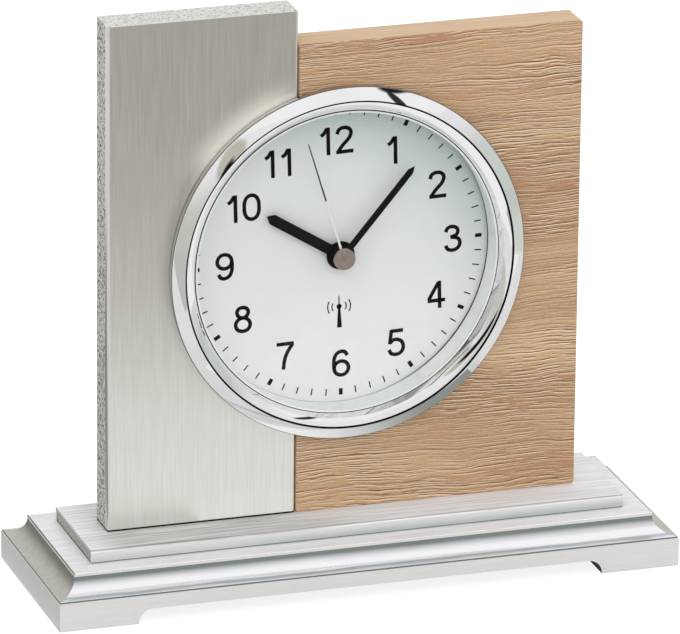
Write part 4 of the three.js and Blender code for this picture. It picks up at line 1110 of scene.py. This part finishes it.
land = bezel_point([lip_radius - LAND_STEP, line_radius, line_radius - LAND_STEP, inner_radius],
                   LIP_PROUD - np.array([LAND_LINE_DEPTH, LAND_LINE_DEPTH, LAND_OUTER_DROP, LAND_INNER_DROP]))
seat = bezel_point([inner_radius, inner_radius + SEAT, inner_radius + SEAT], [LIP_LOW, LIP_LOW, 0])
profile = np.concatenate([foot, corner, crown, groove, bevel, land, seat])
print("bezel profile:", len(profile), "points")

# %% Turn the bezel
CHROME, DARK_LINE, OUTSIDE, LAND_BRIGHT, CORNER = range(5)
crown_start = len(foot) + len(corner)
groove_start = crown_start + len(crown)
land_start = groove_start + len(groove) + len(bevel) - 1
paint = np.full(len(profile), CHROME)
# The foot line, the groove and the land line take the groove shadow, and the outer wall and its corner take
# darker copies of the chrome: all painted shade.
paint[:2] = DARK_LINE
paint[2:len(foot)] = OUTSIDE
paint[len(foot):crown_start] = CORNER
paint[groove_start - 1:groove_start + 2] = DARK_LINE
paint[land_start:land_start + 3] = DARK_LINE
paint[land_start + 3:land_start + 5] = LAND_BRIGHT
piece("chrome_bezel", "stand", [chrome, groove_dark, bezel_side_painted_shade, bright_ring, bezel_edge_painted_shade],
      [turned(profile, insert_centre, segments=256, paint=paint)], ["bezel_ring"], sharp=22)

# %% [markdown]
# ## Glass, reflector and dial
# Behind the bezel lie a flat glass in its gasket, a bright ring and the white dial. A refracting glass lets
# little light through to the dial without many bounces. This one is thin: clear straight through, with a
# mirror that grows towards grazing angles. The rings are turned, as the bezel is.

# %% Glass and gasket
GLASS_LEAST, GLASS_GRAZING, GLASS_EASE = 0.006, 0.9, 0.15
CUP_WALL, GASKET_LAP = 1.4, 0.28


def glass_shader(start):
    """Clear glass whose mirror's share is the least one plus a fifth power of the slant to the view."""
    facing = start.node("LayerWeight", {}, {"Blend": 0.5}, output="Facing")
    share = GLASS_LEAST + GLASS_GRAZING * facing.math("POWER", 5.0)
    through = start.node("BsdfTransparent", {}, {"Color": (0.99, 0.995, 0.992, 1)})
    mirror = start.node("BsdfGlossy", {}, {"Color": grey(1), "Roughness": 0.02})
    return start.node("MixShader", {}, {0: share, 1: through, 2: mirror})


def ring_piece(name, node, material, inner, ease=0.1):
    """A plain turned ring with the outer size of its node, an inner radius and eased edges."""
    low, high, _, outer = round_reach(node)
    profile = ring_profile(inner, outer, low[1], high[1], ease, 3)
    piece(name, "stand", [material], [turned(profile, insert_centre)], [node])


low, high, _, glass_radius = round_reach("glass")
profile = ring_profile(0, glass_radius, low[1], high[1], (0, GLASS_EASE, GLASS_EASE, 0))
piece("glass_disc", "stand", [shaded("mineral_glass", glass_shader)],
      [turned(profile, insert_centre)], ["glass"])
ring_piece("gasket_ring", "glass_gasket", rubber, glass_radius - CUP_WALL + GASKET_LAP)

# %% Reflector and dial
SHELTER_AIM, SHELTER_RISE, SHELTER_REACH = (0.45, 0.9), (2, 46), (14, 46)
DIAL_SHADE, GAP_SHADED = (-42, 12), (5, 38)


def dial_recipe(place):
    """White paint with a fine grain, with the bezel's shadow painted on: a shade darker towards the top, and
    greener towards the top right."""
    across, rise, out = from_arbor(place)
    towards = SHELTER_AIM[0] * across + SHELTER_AIM[1] * rise
    painted_shade = towards.between(*SHELTER_RISE) * out.between(*SHELTER_REACH)
    fine = place.noise(3.5, 2.0, 0.55)
    cloud = place.noise(0.12, 3.0, 0.6).contrast(0.25)
    white = (0.3 * cloud).mix(rise.between(*DIAL_SHADE).mix("f3f3f3", "e5e7e5"), "e2e2e1")
    colour = (0.8 * painted_shade).mix(white, "b3c2bb")
    return {"Base Color": colour, "Roughness": 0.44 + 0.12 * fine, "Height": 0.004 * fine}


def gap_recipe(place):
    """The rebate round the dial, painted as a shadow line that is dark on the right and pale elsewhere."""
    shaded_side = from_arbor(place)[0].between(*GAP_SHADED)
    cloud = place.noise(0.2, 2.0, 0.5)
    return {"Base Color": shaded_side.mix("ccd2cf", "0a0a0a"), "Roughness": 0.5 + 0.1 * cloud}


dial_paint = finish("dial_paint", dial_recipe)
dial_gap = finish("dial_gap", gap_recipe, Specular_IOR_Level=0.2)
REFLECTOR_WALL, DIAL_HOLE, DIAL_EASE = 0.5, 3.2, 0.05
DIAL_LINE, LINE_DEPTH = 1.0, 0.05
THROAT = ((0, 0.4), (0.08, 0.1), (0.25, 0))
FLANGE, FLANGE_THICK, FLANGE_ROOT = 0.45, 0.1, 0.3
low, high, _, outer = round_reach("reflector_ring")
front, rear, inner = low[1], high[1], outer - REFLECTOR_WALL
profile = np.array([(inner + LINE_DEPTH, rear - DIAL_LINE), (inner, rear - DIAL_LINE),
                    *((inner + out, front + back) for out, back in THROAT),
                    (outer + FLANGE, front), (outer + FLANGE, front + FLANGE_THICK),
                    (outer, front + FLANGE_ROOT), (outer, rear), (inner + LINE_DEPTH, rear)])
paint = np.zeros(len(profile), int)
paint[[0, -1]] = 1
piece("reflector", "stand", [bright_ring, dial_gap], [turned(profile, insert_centre, paint=paint)],
      ["reflector_ring"])
ring_piece("dial_plate", "dial", dial_paint, DIAL_HOLE, DIAL_EASE)
dial_face = reach("dial")[0][1]

# %% [markdown]
# ## Print on the dial
# Numbers, minute marks and the radio sign are ink. They could be a pattern in the dial's material, but an
# edge that sharp is better a shape: bands a few hundredths of a millimetre thick, carried along a path. A
# font would bring its own file, so a number's strokes are smooth curves through a few points, in a cell one
# unit high.

# %% Strokes
INK = 0.03
DIAL_TURN = math.radians(-1.7)
STROKE_STEPS = 10


def smooth(points, closed=False):
    """A Catmull-Rom curve through the points: between two of them it is a cubic whose end slopes are half
    the way from the point before to the point after."""
    points = np.asarray(points, float)
    if len(points) == 2:
        return points
    if closed:
        padded = np.concatenate([points[-1:], points, points[:2]])
    else:
        padded = np.concatenate([[2 * points[0] - points[1]], points, [2 * points[-1] - points[-2]]])
    a, b, c, d = (padded[i:len(padded) - 3 + i, None] for i in range(4))
    t = np.linspace(0, 1, STROKE_STEPS, endpoint=False)[None, :, None]
    slope, pull, twist = c - a, 2 * a - 5 * b + 4 * c - d, 3 * b - a - 3 * c + d
    curve = (0.5 * (2 * b + slope * t + pull * t ** 2 + twist * t ** 3)).reshape(-1, 2)
    return curve if closed else np.concatenate([curve, points[-1:]])


def on_dial(flat):
    """Points of the dial's own plan (right, up from the arbor) turned with the dial and put in the frame."""
    c, s = math.cos(DIAL_TURN), math.sin(DIAL_TURN)
    return np.stack([arbor[0] + c * flat[..., 0] + s * flat[..., 1],
                     arbor[2] - s * flat[..., 0] + c * flat[..., 1]], -1)


def stroke(path, width, closed=False):
    """A flat band of ink along a path: its section is a rectangle, half the width to each side."""
    ahead, behind = np.roll(path, -1, 0), np.roll(path, 1, 0)
    if not closed:
        ahead[-1], behind[0] = path[-1], path[0]
    slope = ahead - behind
    slope /= np.linalg.norm(slope, axis=1)[:, None]
    side = np.stack([-slope[:, 1], slope[:, 0]], 1) * np.reshape(width, (-1, 1)) / 2
    edges = on_dial(np.stack([path - side, path + side, path + side, path - side], 1))
    depth = dial_face - np.array([0, 0, INK, INK])
    grid = np.stack([edges[..., 0], np.broadcast_to(depth, edges.shape[:2]), edges[..., 1]], -1)
    return patch(grid, ring=closed, caps=None if closed else (0, 0))


# %% Minute marks
MARK_RADIUS = 43.2
MARK_LENGTH, MARK_WIDTH = 2.1, 0.38
BLOCK_LENGTH, BLOCK_WIDTH = 2.0, 1.15


def clock_direction(hours):
    """The unit vector from the arbor towards an hour on the dial."""
    turn = hours * math.pi / 6
    return np.array((math.sin(turn), math.cos(turn)))


marks = []
for minute in range(60):
    length, width = (MARK_LENGTH, MARK_WIDTH) if minute % 5 else (BLOCK_LENGTH, BLOCK_WIDTH)
    ends = np.array([MARK_RADIUS - length / 2, MARK_RADIUS + length / 2])
    marks.append(stroke(ends[:, None] * clock_direction(minute / 5), width))
piece("minute_marks", "stand", [ink], marks)

# %% Strokes of the digits
DIGIT_WIDTH = 0.66


def half_turned(points):
    """The same stroke turned by half a turn in its cell."""
    return [(DIGIT_WIDTH - x, 1.0 - y) for x, y in points]


round_digit = [(0.33, 0.934), (0.50, 0.86), (0.583, 0.68), (0.594, 0.5), (0.583, 0.32), (0.50, 0.14),
               (0.33, 0.066), (0.16, 0.14), (0.077, 0.32), (0.066, 0.5), (0.077, 0.68), (0.16, 0.86)]
two_neck = [(0.075, 0.715), (0.12, 0.85), (0.23, 0.922), (0.335, 0.934), (0.46, 0.91), (0.555, 0.82),
            (0.57, 0.70), (0.49, 0.53), (0.28, 0.315), (0.11, 0.10)]
three_top = [(0.085, 0.745), (0.16, 0.885), (0.31, 0.934), (0.47, 0.88), (0.53, 0.755), (0.46, 0.61),
             (0.25, 0.545)]
three_bowl = [(0.27, 0.545), (0.47, 0.51), (0.585, 0.395), (0.58, 0.225), (0.47, 0.105), (0.31, 0.066),
              (0.15, 0.12), (0.075, 0.26)]
five_bowl = [(0.125, 0.51), (0.23, 0.60), (0.36, 0.612), (0.52, 0.54), (0.594, 0.375), (0.565, 0.20),
             (0.455, 0.095), (0.31, 0.066), (0.155, 0.115), (0.075, 0.26)]
six_bowl = [(0.345, 0.575), (0.50, 0.525), (0.592, 0.395), (0.59, 0.24), (0.49, 0.105), (0.335, 0.066),
            (0.18, 0.12), (0.09, 0.26), (0.10, 0.42), (0.19, 0.53)]
six_neck = [(0.565, 0.765), (0.49, 0.895), (0.345, 0.934), (0.18, 0.86), (0.09, 0.68), (0.07, 0.45),
            (0.092, 0.27)]
eight_top = [(0.33, 0.934), (0.47, 0.895), (0.535, 0.765), (0.475, 0.62), (0.33, 0.555), (0.185, 0.62),
             (0.125, 0.765), (0.19, 0.895)]
eight_bowl = [(0.33, 0.555), (0.51, 0.485), (0.594, 0.31), (0.515, 0.13), (0.33, 0.066), (0.145, 0.13),
              (0.066, 0.31), (0.15, 0.485)]
digits = {
    "0": [(round_digit, True)],
    "1": [([(0.44, 0.0), (0.44, 1.0)], False), ([(0.17, 0.715), (0.285, 0.79), (0.40, 0.965)], False)],
    "2": [(two_neck, False), ([(0.03, 0.066), (0.65, 0.066)], False)],
    "3": [(three_top, False), (three_bowl, False)],
    "4": [([(0.455, 0.0), (0.455, 1.0)], False), ([(0.42, 0.945), (0.055, 0.335)], False),
          ([(0.02, 0.29), (0.66, 0.29)], False)],
    "5": [([(0.165, 0.934), (0.60, 0.934)], False), ([(0.175, 0.985), (0.105, 0.46)], False),
          (five_bowl, False)],
    "6": [(six_bowl, True), (six_neck, False)],
    "7": [([(0.02, 0.934), (0.645, 0.934)], False),
          ([(0.60, 0.90), (0.44, 0.68), (0.31, 0.39), (0.245, 0.0)], False)],
    "8": [(eight_top, True), (eight_bowl, True)],
    "9": [(half_turned(six_bowl), True), (half_turned(six_neck), False)],
}
print("digits:", len(digits))

# %% Numbers
NUMBER_HEIGHT, NUMBER_RADIUS, NUMBER_STROKE = 8.45, 34.5, 1.14
DIGIT_ADVANCE = {"10": 0.69, "11": 0.60, "12": 0.69}
DIGIT_LEFT, DIGIT_RIGHT = {"1": 0.17}, {"1": 0.5}
NUMBER_NUDGE = {1: (0, -0.5), 2: (0.9, 0), 3: (0.7, 0), 4: (0, 0.35), 5: (0, -0.3), 6: (0.2, 0.1),
                7: (0.5, 0), 8: (0.4, 0.3), 10: (1.7, 0), 11: (-0.4, -0.3), 12: (0.4, 0)}
numbers = []
for hour in range(1, 13):
    text = str(hour)
    left_edge = DIGIT_LEFT.get(text[0], 0.0)
    advance = DIGIT_ADVANCE.get(text, 0.0)
    right_edge = advance + DIGIT_RIGHT.get(text[-1], DIGIT_WIDTH)
    middle = NUMBER_RADIUS * clock_direction(hour) + NUMBER_NUDGE.get(hour, (0, 0))
    for place_in_text, digit in enumerate(text):
        shift = np.array((place_in_text * advance - (left_edge + right_edge) / 2, -0.5))
        for points, closed in digits[digit]:
            path = middle + NUMBER_HEIGHT * (smooth(points, closed) + shift)
            numbers.append(stroke(path, NUMBER_STROKE, closed))
piece("dial_numbers", "stand", [ink], numbers)

# %% Radio sign
SIGN_BALL, MAST_TIP, MAST_FOOT = np.array(((0.0, -16.7), (0.0, -13.4), (0.0, -23.2)))
TIP_STROKE, MAST_STROKES = 0.35, (0.7, 1.5)
BALL_RADIUS, BALL_STROKE = 0.4, 0.78
WAVE_RADII, WAVE_SPREAD, WAVE_STROKE = (2.2, 3.5), 0.55, 0.36


def arc_points(radius, swing, side=1):
    """Points on a circle round the ball of the mast, at the angles of swing, or mirrored for the side -1."""
    return SIGN_BALL + radius * np.stack([side * np.cos(swing), np.sin(swing)], 1)


sign = [stroke(np.array([MAST_TIP, SIGN_BALL]), TIP_STROKE),
        stroke(np.array([SIGN_BALL, MAST_FOOT]), MAST_STROKES)]
ball = arc_points(BALL_RADIUS, np.linspace(0, 2 * math.pi, 24, endpoint=False))
sign.append(stroke(ball, BALL_STROKE, True))
for radius in WAVE_RADII:
    for side in (-1, 1):
        wave = arc_points(radius, np.linspace(-WAVE_SPREAD, WAVE_SPREAD, 12), side)
        sign.append(stroke(wave, WAVE_STROKE))
piece("radio_sign", "stand", [ink], sign)

# %% [markdown]
# ## Hands
# The hour and minute hands are pressed from thin sheet and lacquered black, the second hand is fine bright
# metal under a turned cap. A blade joined to a disc would leave a seam, so each hand is one outline round its
# hub, with the hole for its own arbor: hole and rim points pair up by direction, and the faces between them
# need no other cuts.

# %% Outline of a hand
HUB_STEPS = 40
BLADE_START, BLADE_STEPS = 0.08, 14


def hand_outline(angle, length, root, tip, point, hub):
    """A hub circle that runs into a straight blade with a pointed end, turned clockwise from twelve."""
    start = math.asin(root / 2 / hub)
    swing = np.linspace(math.pi / 2 + start, math.pi * 2.5 - start, HUB_STEPS)
    circle = hub * np.stack([np.cos(swing), np.sin(swing)], 1)
    steps = np.linspace(BLADE_START, 1, BLADE_STEPS)[:, None]
    left_end, right_end = np.array(((-tip / 2, length - point), (tip / 2, length - point)))
    right_blade = circle[-1] + steps * (right_end - circle[-1])
    left_blade = left_end + (1 - steps[::-1]) * (circle[0] - left_end)
    flat = np.concatenate([circle, right_blade, [(0, length)], left_blade[:-1]])
    c, s = math.cos(angle), math.sin(angle)
    return np.stack([c * flat[:, 0] + s * flat[:, 1], c * flat[:, 1] - s * flat[:, 0]], 1)


def hand(name, node, body, slot, material, bore, ease, **shape):
    """A flat hand with the depth of its node and a hole for its arbor."""
    low, high = reach(node)
    outline = hand_outline(**shape)
    hole = outline * (bore / np.linalg.norm(outline, axis=1))[:, None]
    middle = np.array((arbor[0], arbor[2]))
    piece(name, body, [material],
          [plate(outline + middle, low[1], high[1], ease, hole=hole + middle)], [node])


# %% The three hands
BRIGHT_REACH, BRIGHT_SOFT = 19.0, 0.2


def second_recipe(place):
    """Bright metal over the hub, dark grey further out."""
    out = from_arbor(place)[2]
    hair = place.noise(2.0)
    colour = out.between(BRIGHT_REACH - BRIGHT_SOFT, BRIGHT_REACH + BRIGHT_SOFT).mix("fafafa", "4a4b4b")
    return {"Base Color": colour, "Roughness": 0.18 + 0.1 * hair}


second_metal = finish("second_hand_metal", second_recipe, Metallic=0.35)
hour_angle, minute_angle, second_angle = map(math.radians, (301.8, 40.0, 342.8))
hand("hour_blade", "hour_hand", "hour_work", "hand_black", hand_paint, bore=2.45, ease=0.12,
     angle=hour_angle, length=26.6, root=3.2, tip=3.2, point=2.0, hub=4.3)
hand("minute_blade", "minute_hand", "minute_work", "hand_black", hand_paint, bore=1.75, ease=0.12,
     angle=minute_angle, length=33.9, root=1.95, tip=1.95, point=2.0, hub=3.4)
hand("second_blade", "second_hand", "seconds_work", "hand_silver", second_metal, bore=0.8, ease=0.06,
     angle=second_angle, length=37.9, root=0.7, tip=0.3, point=0.4, hub=2.0)

# %% Cap of the second hand
CAP_HOLE, CAP_FRONT, CAP_EASE, CAP_REAR_EASE = 0.8, 0.25, 0.25, 0.08


def cap_recipe(place):
    """Warm grey metal with fine rings from the lathe: noise over the distance from the arbor alone."""
    out = from_arbor(place)[2]
    turning = place.node("CombineXYZ", {}, {0: out}).noise(9.0, 2.0, 0.6)
    cloud = place.noise(0.35, 2.0, 0.5).contrast()
    return {"Base Color": cloud.mix("8a7d76", "9d9089"), "Roughness": 0.32 + 0.15 * turning,
            "Height": 0.01 * turning}


cap_metal = finish("cap_taupe", cap_recipe, Metallic=0.45)
low, high, _, size = round_reach("second_hand_cap")
front, rear = low[1], high[1]
profile = rounded([(0, front), (size, front), (size, rear), (CAP_HOLE, rear), (CAP_HOLE, front + CAP_FRONT),
                   (0, front + CAP_FRONT)], (0, CAP_EASE, CAP_REAR_EASE, 0, 0, 0), 5)
piece("second_cap", "seconds_work", [cap_metal], [turned(profile, insert_centre, segments=96)],
      ["second_hand_cap"])

# %% [markdown]
# ## Rear ring and screws
# A moulded ring holds the clock in the panels from behind, with three screws, and two more hold the movement.
# All are turned. A screw's cross recess could be cut with a boolean, but a dip in the turned head is cleaner:
# its depth is a function of the place across the head.

# %% Retaining ring
RING_INNER, RING_LINE, RING_LINE_IN, RING_LINE_DEPTH = 42.5, 0.8, 3.2, 0.4
RING_EASES = (0.1, 0.2, 0.8, 0.15, 0.1, 0.1, 0.15, 0.6)
low, high, _, size = round_reach("retaining_ring")
front, rear = low[1], high[1]
line_outer, line_floor = size - RING_LINE_IN, rear - RING_LINE_DEPTH
line_inner = line_outer - RING_LINE
profile = rounded([(RING_INNER, front), (size, front), (size, rear), (line_outer, rear),
                   (line_outer, line_floor), (line_inner, line_floor), (line_inner, rear),
                   (RING_INNER, rear)], RING_EASES)
piece("rear_ring", "stand", [black_plastic], [turned(profile, insert_centre)],
      ["retaining_ring"])

# %% Screws
SCREW_SHANK, SCREW_POINT, HEAD_HEIGHT, HEAD_ROUND = 1.0, 0.6, 1.25, 0.6
ARM_WIDTH, ARM_LENGTH, RECESS = 0.13, 0.56, 0.7
HEAD_STEPS, SCREW_SEGMENTS = 24, 96


def screw(name, node):
    """A pan head falls with the power 2.5 of its radius. Within two crossed arms it dips by the recess, less
    towards the ends of the arms."""
    low, high, middle, size = round_reach(node)
    share = np.linspace(0, 1, HEAD_STEPS)
    seat = high[1] - HEAD_HEIGHT
    head = np.stack([size * share, high[1] - HEAD_ROUND * HEAD_HEIGHT * share ** 2.5], 1)
    shank = [(size, seat), (SCREW_SHANK, seat), (SCREW_SHANK, low[1] + SCREW_POINT), (0, low[1])]
    points, faces, paints = turned(np.concatenate([head, shank]), (middle[0], 0, middle[2]),
                                   segments=SCREW_SEGMENTS)
    offset = np.abs(points[:, [0, 2]] - middle[[0, 2]]) / size
    near, far = offset.min(1), offset.max(1)
    inside = (near < ARM_WIDTH) & (far < ARM_LENGTH) & (points[:, 1] > seat)
    points[:, 1] -= np.where(inside, RECESS * (1 - 0.5 * far / ARM_LENGTH), 0)
    piece(name, "stand", [steel], [(points, faces, paints)], [node])


for place, count in (("ring", 3), ("movement", 2)):
    for number in range(1, count + 1):
        screw(f"{place}_pan_head_{number}", f"{place}_screw_{number}")

# %% [markdown]
# ## Keys and cell
# Three keys stand out of the movement's cover, each with a flange inside that keeps it in, and one cell lies
# in the open bay below. A plain cylinder would do for neither: the keys are dished for a fingertip, and the
# cell has a nub, a crimped rim and a seam in its jacket. Each is again a turned profile.

# %% Keys
KEY_RADIUS, KEY_FLANGE, KEY_DISH, DISH_SHARE = 1.8, 0.8, 0.22, 0.6
KEY_EASES = (0, 0.1, 0.1, 0, 0.35, 0.3, 0)
for key in ("set", "receive", "reset"):
    low, high, middle, size = round_reach(f"{key}_button")
    front, rear, flange = low[1], high[1], low[1] + KEY_FLANGE
    profile = rounded([(0, front), (size, front), (size, flange), (KEY_RADIUS, flange), (KEY_RADIUS, rear),
                       (DISH_SHARE * KEY_RADIUS, rear), (0, rear - KEY_DISH)], KEY_EASES)
    piece(f"{key}_push_key", f"{key}_key", [grey_plastic],
          [turned(profile, (middle[0], 0, middle[2]), segments=64)], [f"{key}_button"])

# %% Cell
NUB, CELL_BAND = 1.2, 11.0
FLAT_END = np.array([(0, 0.25), (4.9, 0.25), (5.3, 0), (6.3, 0), (6.4, 0.2), (6.8, 0)])
FLAT_CURL = np.array([(-0.12, 0.15), (0, 0.5)])
SEAM = np.array([(0, 0), (-0.06, 0.05), (-0.06, 0.35), (0, 0.4)])
NUB_CURL = np.array([(0, -0.8), (-0.2, -0.4)])
NUB_END = np.array([(6.4, -0.3), (6.2, -0.6), (3.4, -0.4), (2.6, 0)])
NUB_TIP = np.array([(2.6, -0.35), (2.25, 0), (0, 0)])
low, high = reach("battery")
size, middle = (high[2] - low[2]) / 2, (low + high) / 2
start, end = low[0], high[0]
shoulder = end - NUB
profile = np.concatenate([FLAT_END + (0, start), FLAT_CURL + (size, start),
                          SEAM + (size, shoulder - CELL_BAND), NUB_CURL + (size, shoulder),
                          NUB_END + (0, shoulder), NUB_TIP + (0, end)])
paint = np.ones(len(profile) - 1, int)
paint[4:8] = 0
paint[8:14] = 2
piece("dry_cell", "battery_cell", [jacket, steel, cell_band],
      [turned(profile, (0, middle[1], middle[2]), "x", 128, paint)], ["battery"])

# %% [markdown]
# ## Carried-over pieces
# The movement's inner pieces, its case and the base board keep their CAD shape and get a finish each. Where
# they show, a small bevel on their edges catches the light as a moulded edge does.

# %% Finishes for the CAD nodes
node_finish = {
    raw_board: ["base_core"],
    steel: ["panel_screw_1", "panel_screw_2", "panel_screw_3", "panel_screw_4", "minute_stator",
            "seconds_stator", "quartz_crystal", "battery_contact_positive", "battery_contact_negative"],
    black_plastic: ["case_cup", "movement_front_case", "movement_rear_cover"],
    white_plastic: ["hour_wheel", "minute_wheel", "seconds_wheel", "motion_work_wheel", "third_wheel",
                    "fifth_wheel", "train_bridge"],
    magnet: ["minute_rotor", "seconds_rotor"],
    copper: ["minute_coil", "seconds_coil", "antenna_winding"],
    ferrite: ["ferrite_rod"],
    circuit: ["circuit_board"],
}
for material, names in node_finish.items():
    for name in names:
        frame["nodes"][name].material_slots[0].material = material
NODE_WELD, EASE_ANGLE = 1e-6, math.radians(40)
for name, width in (("movement_front_case", 0.25), ("movement_rear_cover", 0.4)):
    weld = frame["nodes"][name].modifiers.new("weld", "WELD")
    weld.merge_threshold = NODE_WELD
    ease = frame["nodes"][name].modifiers.new("ease", "BEVEL")
    ease.width = width * MM
    ease.segments = 2
    ease.limit_method = "ANGLE"
    ease.angle_limit = EASE_ANGLE
print("finished CAD nodes:", sum(map(len, node_finish.values())))
